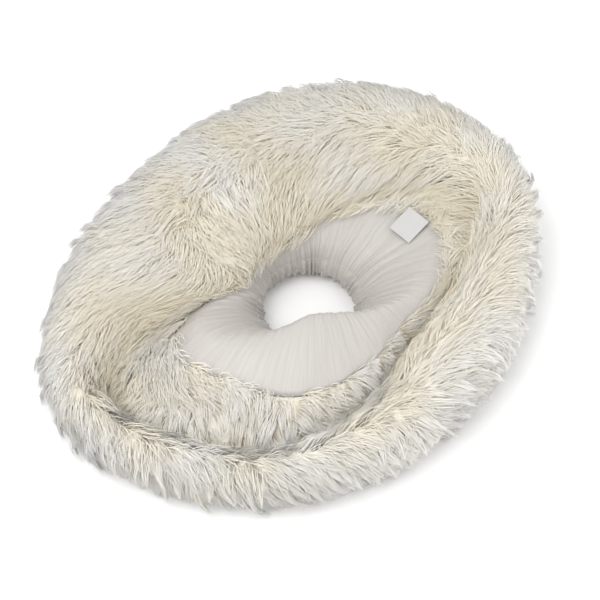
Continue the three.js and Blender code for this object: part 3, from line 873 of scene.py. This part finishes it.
class BOA_OT_grow_pile(bpy.types.Operator):
    """Grows the long pile in tufts, as several pieces on each fur panel"""
    bl_idname = "boa.grow_pile"
    bl_label = "Long pile"

    def execute(self, context):
        settings = context.scene.boa_pile
        share = 1
        centres, up, shade, angle = grown_hairs(settings, int(settings.tufts * share))
        clear = clear_of_label(centres)
        taper = HAIR_TAPER * (settings.thickness / math.sqrt(share))
        material = pile_finish(settings)
        for side, (start, end) in PANELS.items():
            edges = np.linspace(start, end, PILE_PIECES[side] + 1)
            for number, (low, high) in enumerate(zip(edges, edges[1:]), 1):
                here = clear & (np.mod(angle - low, 360) < high - low)
                piece = tubes_object(f"fur_pile_{side}_{number}", centres[here], taper, up[here],
                                     HAIR_SIDES, shade[here], NORMAL_LEAN)
                dress(piece, material)
        return {"FINISHED"}


def clear_of_label(centres):
    """Which hairs stay out of the sector that the label sweeps as it swings up."""
    hinge, axes, (width, length_out, _) = label_axes()
    across, out, up = np.moveaxis((centres - hinge) @ axes.T, -1, 0)
    turn = np.degrees(np.arctan2(up, out))
    near = np.hypot(out, up) < length_out + SWEEP_MARGIN
    beside = np.abs(across) < width / 2 + SWEEP_MARGIN
    return ~(near & beside & (turn > SWEEP[0]) & (turn < SWEEP[1])).any(1)


def near_crease(place):
    """1 at the crease, falling away to each side as a bell curve."""
    return np.exp(-((place - AT_CREASE) / CREASE_WIDTH) ** 2)


def tuft_habits(settings, tufts, chance):
    """What the hairs of a tuft share, by name, with one value for every tuft.

    Some tufts on the outer wall are drawn into peaks and stand out further. Those on the band
    between the crease and the seam reach further, lie closer together and are whiter.
    """
    angle, place = spread_over_fur(tufts)
    middle = look_up(SKIN, angle, place)
    along, across = lay_of_pile(angle, place, middle)
    stray = chance.normal(0, math.radians(STRAY), tufts)
    reach = settings.reach * chance.uniform(*TUFT_REACH, tufts)
    on_wall = smooth_step(place, *WALL_START) * (1 - smooth_step(place, *WALL_END))
    peaked = (chance.uniform(0, 1, tufts) < PEAKED_SHARE) * on_wall
    on_band = smooth_step(place, *BAND_START) * (1 - past_parting(angle, place, 0))
    stand = mix(chance.uniform(*LYING_STAND, tufts), chance.uniform(*PEAKED_STAND, tufts), peaked)
    drawn = np.maximum(peaked, DRAWN_ON_BAND * on_band)
    spread = mix(chance.uniform(*TUFT_SPREAD, tufts), DRAWN_SPREAD, drawn)
    gather = settings.gather * chance.uniform(*TUFT_GATHER, tufts) + BAND_GATHER * on_band
    in_crease = near_crease(place)
    shade = mix(WALL_SHADE, INSIDE_SHADE, smooth_step(place, *INSIDE_OF_CROWN))
    shade = shade + SHADE_WANDER * wander(middle, 70 * MM, seed=12)
    return {
        "angle": angle,
        "place": place,
        "along": along * np.cos(stray) - across * np.sin(stray),
        "across": along * np.sin(stray) + across * np.cos(stray),
        "wide": along_rate(angle, place),
        "high": across_rate(angle, place),
        "peaked": peaked,
        "reach": reach * mix(1, BAND_REACH, on_band),
        "stand": settings.stand * stand,
        "spread": settings.spread * spread,
        "gather": mix(gather, PEAK_GATHER, peaked),
        # Tufts in the crease drop towards the darkest, brownest shade: painted shade of the crease.
        "shade": shade - PAINTED_CREASE_SHADE * in_crease + BAND_SHADE * on_band * (1 - in_crease),
    }


def hair_ends(own, chance):
    """Angle and place of every root and tip, and how far each hair belongs to the fringe.

    Roots lie round each tuft's middle. A tip lies a reach away over the skin along the lay, drawn
    towards its tuft's own tip. Fringe hairs lean either way, and past the seam a tip's distance is
    laid off over the lining.
    """
    count = len(own["angle"])
    aside = chance.normal(0, 1, (count, 2)) * own["spread"][:, None]
    root_angle = own["angle"] + aside[:, 0] / own["wide"]
    root_place = np.clip(own["place"] + aside[:, 1] / own["high"], AT_BOTTOM_SEAM, AT_TOP_SEAM)
    loose = (1 - own["gather"]) * chance.uniform(*LOOSENESS, count)
    shorter = chance.uniform(0, SHORTFALL, count) * mix(1, PEAKED_SHORTFALL, own["peaked"])
    reach = own["reach"] * (LONGEST - shorter)
    fringe = smooth_step(root_place, *FRINGE)
    tip_along = aside[:, 0] * loose + own["along"] * reach
    tip_across = aside[:, 1] * loose + own["across"] * reach
    tip_across = mix(tip_across, reach * chance.uniform(*FRINGE_REACH, count), FRINGE_SHARE * fringe)
    tip_angle = own["angle"] + tip_along / own["wide"]
    over_seam = tip_across - (AT_TOP_SEAM - own["place"]) * own["high"]
    on_lining = AT_TOP_SEAM + over_seam / across_rate(tip_angle, np.full(count, AT_TOP_SEAM + 0.5))
    tip_place = np.where(over_seam > 0, on_lining, own["place"] + tip_across / own["high"])
    return root_angle, root_place, tip_angle, np.clip(tip_place, *TIP_PLACES), fringe


def grown_hairs(settings, tufts):
    """Centre lines of every hair, their roots' outward ways, shades and the angles they grow at.

    A hair is the curve of a quadratic pull from root to tip. The pull's point lies straight out of
    the root and partly on towards the tip, and on the fringe it swells inward over the seam. Tips
    stand a rise above the skin, more on the fringe and over the crease.
    """
    chance = np.random.default_rng(HAIR_SEED)
    habits = tuft_habits(settings, tufts, chance)
    own = {name: np.repeat(values, settings.hairs) for name, values in habits.items()}
    root_angle, root_place, tip_angle, tip_place, fringe = hair_ends(own, chance)
    count = len(root_angle)
    root_out = look_up(OUTWARD, root_angle, root_place)
    depth = fur_depth(root_angle, root_place) * ROOT_DEPTH
    root = look_up(SKIN, root_angle, root_place) - root_out * depth[:, None]
    rise = own["stand"] * chance.uniform(*HAIR_RISE, count) + LEAST_RISE + FRINGE_RISE * fringe
    rise = rise + OVER_CREASE_RISE * near_crease(tip_place) * chance.uniform(0, 1, count)
    tip = look_up(SKIN, tip_angle, tip_place) + look_up(OUTWARD, tip_angle, tip_place) * rise[:, None]
    pull = root + root_out * (depth + rise * PULL_OUT)[:, None] + (tip - root) * PULL_ALONG
    step = 0.1
    inward = look_up(SKIN, root_angle, root_place + step) - look_up(SKIN, root_angle, root_place - step)
    pull = pull + unit(inward) * (fringe * chance.uniform(0, FRINGE_SWELL, count))[:, None]
    t = np.linspace(0, 1, STRAND_STOPS)[None, :, None]
    centres = (1 - t) ** 2 * root[:, None] + 2 * t * (1 - t) * pull[:, None] + t ** 2 * tip[:, None]
    centres[..., 2] = np.maximum(centres[..., 2], FLOOR_CLEARANCE)
    shade = np.clip(own["shade"] + chance.normal(0, HAIR_SHADE, count), 0, 1)
    return centres, root_out, shade, root_angle


# ---- Lining ----

LINING_COLUMNS = 720
LINING_ROWS_SHOWING = 40
LINING_ROWS_UNDER = 14
SATIN_THICKNESS = 0.35 * MM

# The gathers' uneven spacing round the hem: each wave's size, its number round, and where it starts.
PLEAT_DRIFT = ((0.09, 3, 1), (0.06, 7, 2.2), (0.035, 13, 0))
PLEAT_SWAY = 0.012
PLEAT_MEAN = 0.75
PLEAT_SWING = 0.25
PLEAT_SHARPNESS = 1.4
FOLDS_PER_PLEAT = 2.43
CASING_HOLD = 0.4
CASING_HOLD_WIDTH = 1.3 * MM
PLEAT_SEAM_FADE = 22 * MM


def lining_places():
    """Rows close together over the part that shows, and further apart under the loop."""
    showing = np.linspace(AT_TOP_SEAM, AT_HEM, LINING_ROWS_SHOWING + 1)
    under = np.linspace(AT_HEM, LINING_END, LINING_ROWS_UNDER + 1)
    return np.concatenate([showing, under[1:]])


def pleat_rise(settings, angle, place):
    """Height of the gathers: raised cosines round the hem, their spacing uneven, fading away from it.

    Broad gathers fade over the pleat run and finer folds over twice that. Both are held down where
    the casing's stitches cross them, and at the seams.
    """
    angle, place = np.broadcast_arrays(angle, place)
    turn = np.radians(angle)
    from_hem = run_between(angle, AT_HEM, place)
    from_seam = np.where(place < AT_HEM, run_between(angle, AT_TOP_SEAM, place),
                         run_between(angle, LINING_END, place))
    drift = sum(size * np.sin(waves * turn + start) for size, waves, start in PLEAT_DRIFT)
    sway = PLEAT_SWAY * wander(np.stack([angle * MM * 2, from_hem, 0 * angle], -1), 40 * MM, seed=31)
    broad = 0.5 + 0.5 * np.cos(settings.pleats * (turn + drift + sway))
    fine = 0.5 + 0.5 * np.cos(settings.pleats * FOLDS_PER_PLEAT * (turn + 0.4 * drift + 1.5 * sway))
    height = settings.pleat_height * (PLEAT_MEAN + PLEAT_SWING * np.sin(5 * turn + 0.7) * np.sin(17 * turn))
    gathers = height * broad ** PLEAT_SHARPNESS * np.exp(-from_hem / settings.pleat_run)
    folds = settings.fold_height * fine * np.exp(-from_hem / (2 * settings.pleat_run))
    held = 1.0
    for line in casing_lines():
        at_line = np.exp(-((from_hem - line) / CASING_HOLD_WIDTH) ** 2)
        held = held * (1 - CASING_HOLD * at_line * (place < AT_HEM))
    return (gathers + folds) * held * smooth_step(from_seam, 0, PLEAT_SEAM_FADE)


def casing_lines():
    """Distances above the hem's edge of the two rows of stitches that hold the elastic."""
    lower = ELASTIC_ABOVE_HEM - CASING_STITCH_MARGIN
    upper = ELASTIC_ABOVE_HEM + ELASTIC_WIDTH + CASING_STITCH_MARGIN
    return lower, upper


class BOA_OT_gather_lining(bpy.types.Operator):
    """Makes the satin lining, gathered into pleats by the elastic hem"""
    bl_idname = "boa.gather_lining"
    bl_label = "Satin lining"

    def execute(self, context):
        settings = context.scene.boa_lining
        angle = (LINING_JOIN + np.arange(LINING_COLUMNS) * 360 / LINING_COLUMNS)[None, :]
        place = lining_places()[:, None]
        rise = pleat_rise(settings, angle, place)
        outer = beneath(angle, place, -rise)
        outer[..., 2] = np.maximum(outer[..., 2], FLOOR_CLEARANCE + SATIN_THICKNESS)
        inner = outer - look_up(OUTWARD, *np.broadcast_arrays(angle, place)) * SATIN_THICKNESS
        inner[..., 2] = np.maximum(inner[..., 2], FLOOR_CLEARANCE)
        piece = cloth_object("satin_lining", outer, inner, True)
        dress(piece, satin_finish(settings))
        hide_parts("lining")
        return {"FINISHED"}


# ---- Wadding and elastic ----

WADDING_COLUMNS = 180
WADDING_FUR_ROWS = 48
WADDING_LINING_ROWS = 32
ELASTIC_CHANNEL = 1.6 * MM
CHANNEL_MIDDLE = 5.5 * MM
CHANNEL_WALL = (4 * MM, 6 * MM)
LUMP_DEPTH = 0.5 * MM
LUMP_WIDTH = 30 * MM


class BOA_OT_fill_wadding(bpy.types.Operator):
    """Fills the loop with lumpy wadding, with a channel for the elastic"""
    bl_idname = "boa.fill_wadding"
    bl_label = "Wadding"

    def execute(self, context):
        columns = (np.arange(WADDING_COLUMNS) * 360 / WADDING_COLUMNS)[None, :]
        fur_rows = np.linspace(AT_BOTTOM_SEAM, AT_TOP_SEAM, WADDING_FUR_ROWS + 1)[:, None]
        lining_rows = np.linspace(AT_TOP_SEAM, LINING_END, WADDING_LINING_ROWS + 1)[1:-1, None]
        angle, place = np.broadcast_arrays(columns, fur_rows)
        fur = beneath(angle, place, fur_depth(angle, place) + WADDING_GAP + lumps(angle, place))
        angle, place = np.broadcast_arrays(columns, lining_rows)
        off_channel = np.abs(run_between(angle, place, AT_HEM) - CHANNEL_MIDDLE)
        in_channel = (place < AT_HEM) * (1 - smooth_step(off_channel, *CHANNEL_WALL))
        depth = LINING_THICKNESS + WADDING_GAP + ELASTIC_CHANNEL * in_channel + lumps(angle, place)
        piece = ring_object("wadding_filling", np.concatenate([fur, beneath(angle, place, depth)]))
        dress(piece, wadding_finish(context.scene.boa_sewing.wadding_colour))
        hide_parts("wadding_core")
        return {"FINISHED"}


def lumps(angle, place):
    """Shallow hollows where the loose fibre has settled."""
    return LUMP_DEPTH * (1 + np.clip(wander(look_up(SKIN, angle, place), LUMP_WIDTH, seed=41), -1, 1))


class BOA_OT_finish_elastic(bpy.types.Operator):
    """Gives the elastic band its braided finish"""
    bl_idname = "boa.finish_elastic"
    bl_label = "Elastic"

    def execute(self, context):
        band = frame["nodes"]["elastic_band"]
        band.data.materials.clear()
        band.data.materials.append(elastic_finish(context.scene.boa_sewing.elastic_colour))
        return {"FINISHED"}


# ---- Sewing ----

STITCH_STOPS = 6
STITCH_SIDES = 6
STITCH_TAPER = np.array([0.7, 1, 1, 1, 0.9, 0])
STITCH_SUNK = 0.35 * MM
SEAM_POINTS = 721
FUR_JOIN_POINTS = 200
LINING_JOIN_POINTS = 400
JOIN_STITCH_MARGIN = 0.25
JOIN_DEPTH = 0.7
THREAD_SHADE = 0.5


def stitched(name, line, out, settings, sunk=STITCH_SUNK):
    """A row of stitches along a line: each a short arch of thread that dips into the cloth."""
    step = np.linalg.norm(np.diff(line, axis=0), axis=1)
    run = np.concatenate([[0], np.cumsum(step)])
    pitch = settings.stitch + settings.gap
    count = int(run[-1] / pitch)
    starts = np.arange(count) * run[-1] / max(count, 1)
    t = np.linspace(0, 1, STITCH_STOPS)
    at = starts[:, None] + t * settings.stitch

    def read(values):
        return np.stack([np.interp(at, run, values[:, axis]) for axis in range(3)], -1)

    ways = unit(read(out))
    arch = np.sin(math.pi * t) * (sunk + settings.thread / 2) - sunk
    centres = read(line) + ways * arch[None, :, None]
    radii = settings.thread / 2 * STITCH_TAPER
    return tubes_object(name, centres, radii, ways[:, 0], STITCH_SIDES, np.full(count, THREAD_SHADE))


def above_hem(angle, distance):
    """The place at each angle that lies a distance above the hem's edge."""
    step = 0.5
    rate = run_between(angle, AT_HEM - step, np.full(len(angle), float(AT_HEM))) / step
    return AT_HEM - distance / rate


def across_loop(angle, start, end, count):
    """Places from one seam to the other at one angle, a margin short of both."""
    place = np.linspace(start + JOIN_STITCH_MARGIN, end - JOIN_STITCH_MARGIN, count)
    return np.full(count, angle), place


class BOA_OT_sew_seams(bpy.types.Operator):
    """Sews the seams, the joins and the two rows that hold the elastic"""
    bl_idname = "boa.sew_seams"
    bl_label = "Seams and joins"

    def execute(self, context):
        settings, lining = context.scene.boa_sewing, context.scene.boa_lining
        material = thread_finish(settings.thread_colour)

        def sew(name, node, angle, place, depth):
            line = beneath(angle, place, depth)
            line[:, 2] = np.maximum(line[:, 2], settings.thread)
            piece = stitched(name, line, look_up(OUTWARD, angle, place), settings)
            dress(piece, material)
            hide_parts(node)

        angle = np.linspace(0, 360, SEAM_POINTS)
        for name, node, seam in (("upper_seam_stitches", "top_seam_thread", AT_TOP_SEAM),
                                 ("lower_seam_stitches", "bottom_seam_thread", AT_BOTTOM_SEAM)):
            sew(name, node, angle, np.full(len(angle), float(seam)), 0)
        for side, height in zip(("lower", "upper"), casing_lines()):
            place = above_hem(angle, height)
            depth = -pleat_rise(lining, angle, place)
            sew(f"casing_stitches_{side}", f"casing_stitch_{side}", angle, place, depth)
        for side, join in (("right", FUR_JOIN_RIGHT), ("left", FUR_JOIN_LEFT)):
            angle, place = across_loop(join, AT_BOTTOM_SEAM, AT_TOP_SEAM, FUR_JOIN_POINTS)
            depth = fur_depth(angle, place) * JOIN_DEPTH
            sew(f"fur_join_stitches_{side}", f"fur_join_thread_{side}", angle, place, depth)
        angle, place = across_loop(LINING_JOIN, AT_TOP_SEAM, LINING_END, LINING_JOIN_POINTS)
        sew("lining_join_stitches", "lining_join_thread", angle, place, -pleat_rise(lining, angle, place))
        return {"FINISHED"}


# ---- Label ----

LABEL_COLUMNS = 40
LABEL_LEG_STEPS = 40
LABEL_FOLD_STEPS = 10
LABEL_BOW = 0.25 * MM
LABEL_RIPPLE = 0.12 * MM
TACK_POINTS = 60
TACK_MARGIN = 1 * MM
TACK_BEHIND_EDGE = 2.1 * MM
TACK_ZIGZAG = 0.5 * MM
TACK_TURN = 1.1
TACK_SUNK = 0.2 * MM
TAIL_STOPS = 16
TAIL_THICKNESS = 0.6


def label_axes():
    """The middle of the label's sewn edge, its own axes, and its width, length and thickness.

    The axes come from its joint and its mesh: along the sewn edge, out along its length, and up off
    its face, which is along crossed with out.
    """
    joint = frame["joints"][0]
    hinge, along = np.array(joint["pos_m"]), unit(np.array(joint["axis"], float))
    mesh = frame["nodes"]["care_label"].data
    points = np.empty(len(mesh.vertices) * 3, np.float32)
    mesh.vertices.foreach_get("co", points)
    points = points.reshape(-1, 3) - hinge
    out = unit(points.mean(0) - along * (points.mean(0) @ along))
    axes = np.stack([along, out, np.cross(along, out)])
    return hinge, axes, np.ptp(points @ axes.T, axis=0)


class BOA_OT_fold_label(bpy.types.Operator):
    """Folds the blank care label and tacks it down, with its loose thread ends"""
    bl_idname = "boa.fold_label"
    bl_label = "Care label"

    def execute(self, context):
        settings = context.scene.boa_sewing
        hinge, axes, size = label_axes()
        piece = folded_tape("care_label_tape", hinge, axes, size, settings.tape)
        dress(piece, label_finish(settings.label_colour), "label")
        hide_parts("care_label")
        thread = thread_finish(settings.thread_colour)
        tacks = tack_row(hinge, axes, size, settings)
        dress(tacks, thread)
        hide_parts("label_tack_thread")
        tails = thread_tails(hinge, axes, settings)
        dress(tails, thread)
        return {"FINISHED"}


def folded_tape(name, hinge, axes, size, tape):
    """A tape that runs out, turns back in a half-round fold, and returns, a little bowed.

    Its middle line is two straight legs joined by a half circle; the sheet stands half a tape
    thickness to each side of it, and both legs bow with a shallow sine across and along.
    """
    width, length, thick = size
    radius = (thick - tape) / 2
    leg = np.linspace(0, length - radius - tape / 2, LABEL_LEG_STEPS)
    turn = np.linspace(-math.pi / 2, math.pi / 2, LABEL_FOLD_STEPS + 2)[1:-1]
    out = np.concatenate([leg, leg[-1] + radius * np.cos(turn), leg[::-1]])
    up = np.concatenate([np.full(len(leg), -radius), radius * np.sin(turn), np.full(len(leg), radius)])
    heading = unit(np.stack([np.gradient(out), np.gradient(up)], -1))
    square = np.stack([heading[:, 1], -heading[:, 0]], -1)
    side = np.linspace(-width / 2, width / 2, LABEL_COLUMNS)[None, :]
    bow = LABEL_BOW * np.sin(math.pi * out / length)[:, None] * np.cos(math.pi * side / width)
    bow = bow + LABEL_RIPPLE * np.sin(9 * side / width + 2)

    def layer(offset):
        y = (out + square[:, 0] * offset)[:, None] + 0 * side
        z = (up + square[:, 1] * offset)[:, None] + bow
        x = side + 0 * y
        return hinge + np.stack([x, y, z], -1) @ axes

    return cloth_object(name, layer(tape / 2), layer(-tape / 2), False)


def tack_row(hinge, axes, size, settings):
    """Stitches just behind the label's sewn edge, set in a shallow zigzag."""
    half = size[0] / 2 - TACK_MARGIN
    along = np.linspace(-half, half, TACK_POINTS)
    zigzag = TACK_ZIGZAG * np.sin(np.arange(TACK_POINTS) * TACK_TURN)
    line = hinge + np.stack([along, zigzag - TACK_BEHIND_EDGE, np.zeros(TACK_POINTS)], -1) @ axes
    return stitched("label_tack_stitches", line, np.broadcast_to(axes[2], line.shape), settings, TACK_SUNK)


# Each loose end, in millimetres: where it starts along the sewn edge, then how far it strays along,
# out and up. All of them start the same way out from the edge and above it.
THREAD_ENDS = ((-7, -3, -7, 3), (-3, 2, -8, 2.5), (5, 4, -6, 3), (12, 5, 1, 3), (12.5, 6, 5, 2.5))
THREAD_ENDS_START = (-2.6, 0.2)


def thread_tails(hinge, axes, settings):
    """Loose ends of the tacking thread: each rises, curls over and falls, as half a sine wave."""
    t = np.linspace(0, 1, TAIL_STOPS)
    start = np.array([(along, *THREAD_ENDS_START) for along, *_ in THREAD_ENDS]) * MM
    stray = np.array([end[1:] for end in THREAD_ENDS]) * MM
    level = start[:, None] + stray[:, None] * np.stack([t, t ** 1.5, np.sin(math.pi * t * 0.85)], -1)
    centres = hinge + level @ axes
    up = np.broadcast_to(axes[2], (len(start), 3))
    radii = settings.thread / 2 * TAIL_THICKNESS * (1 - t ** 8)
    shade = np.full(len(start), THREAD_SHADE)
    return tubes_object("label_thread_ends", centres, radii, up, STITCH_SIDES, shade)


# ---- Stage ----

FLOOR_SIDE = 8.0
AIM = Vector((0.003, -0.022, 0.045))
CAMERA_FAR = 20

# Each soft light: its place, the length of its side, and its share of the main light's power.
SOFTBOXES = {
    "main_softbox": ((-0.7, -0.5, 1.7), 1.2, 1),
    "fill_softbox": ((1.2, -0.9, 1.1), 1.0, 0.3),
}


class BOA_OT_set_stage(bpy.types.Operator):
    """Lays a pale floor and sets the soft lights and the camera"""
    bl_idname = "boa.set_stage"
    bl_label = "Stage"

    def execute(self, context):
        scene, settings = context.scene, context.scene.boa_stage
        self.lay_floor(settings)
        self.light(scene, settings)
        self.place_camera(scene, settings)
        scene.view_settings.view_transform = "Standard"
        return {"FINISHED"}

    def lay_floor(self, settings):
        half = FLOOR_SIDE / 2
        corners = [(-half, -half, 0), (half, -half, 0), (half, half, 0), (-half, half, 0)]
        mesh = bpy.data.meshes.new("floor")
        mesh.from_pydata(corners, [], [(0, 1, 2, 3)])
        material, _, surface = new_material("pale_floor")
        set_surface(surface, Base_Color=(*settings.floor_colour, 1), Roughness=0.9, Specular_IOR_Level=0)
        mesh.materials.append(material)
        placed("floor", mesh)

    def light(self, scene, settings):
        world = bpy.data.worlds.new("studio")
        world.use_nodes = True
        scene.world = world
        surround = world.node_tree.nodes["Background"]
        surround.inputs["Color"].default_value = (1, 1, 1, 1)
        surround.inputs["Strength"].default_value = settings.sky
        for name, (place, side, share) in SOFTBOXES.items():
            data = bpy.data.lights.new(name, "AREA")
            data.size = side
            data.energy = settings.key * share
            lamp = placed(name, data)
            lamp.location = place
            lamp.rotation_euler = (AIM - lamp.location).to_track_quat("-Z", "Y").to_euler()

    def place_camera(self, scene, settings):
        data = bpy.data.cameras.new("camera")
        data.lens = settings.lens
        data.clip_end = CAMERA_FAR
        camera = placed("camera", data)
        back = Vector((0, -math.cos(settings.height), math.sin(settings.height)))
        camera.location = AIM + back * settings.distance
        camera.rotation_euler = (-back).to_track_quat("-Z", "Y").to_euler()
        scene.camera = camera


# ---- Add-on ----

OPERATORS = (
    BOA_OT_set_stage,
    BOA_OT_fill_wadding,
    BOA_OT_finish_elastic,
    BOA_OT_gather_lining,
    BOA_OT_cut_backing,
    BOA_OT_grow_pile,
    BOA_OT_sew_seams,
    BOA_OT_fold_label,
)
SETTINGS = {
    "boa_pile": BoaPile,
    "boa_lining": BoaLining,
    "boa_sewing": BoaSewing,
    "boa_stage": BoaStage,
}


class BOA_PT_pieces(bpy.types.Panel):
    """Lists the boa's pieces and their sizes and colours"""
    bl_idname = "BOA_PT_pieces"
    bl_label = "Fur boa"
    bl_space_type = "VIEW_3D"
    bl_region_type = "UI"
    bl_category = "Fur boa"

    def draw(self, context):
        for operator in OPERATORS:
            self.layout.operator(operator.bl_idname, text=operator.bl_label)
        for name, group in SETTINGS.items():
            box = self.layout.box()
            for setting in group.__annotations__:
                box.prop(getattr(context.scene, name), setting)


def register():
    for group in (*SETTINGS.values(), *OPERATORS, BOA_PT_pieces):
        bpy.utils.register_class(group)
    for name, group in SETTINGS.items():
        setattr(bpy.types.Scene, name, PointerProperty(type=group))


def unregister():
    for name in SETTINGS:
        delattr(bpy.types.Scene, name)
    for group in reversed((*SETTINGS.values(), *OPERATORS, BOA_PT_pieces)):
        bpy.utils.unregister_class(group)


def main():
    """Makes every piece in order."""
    register()
    for operator in OPERATORS:
        group, name = operator.bl_idname.split(".")
        getattr(getattr(bpy.ops, group), name)()


if __name__ == "__main__":
    main()
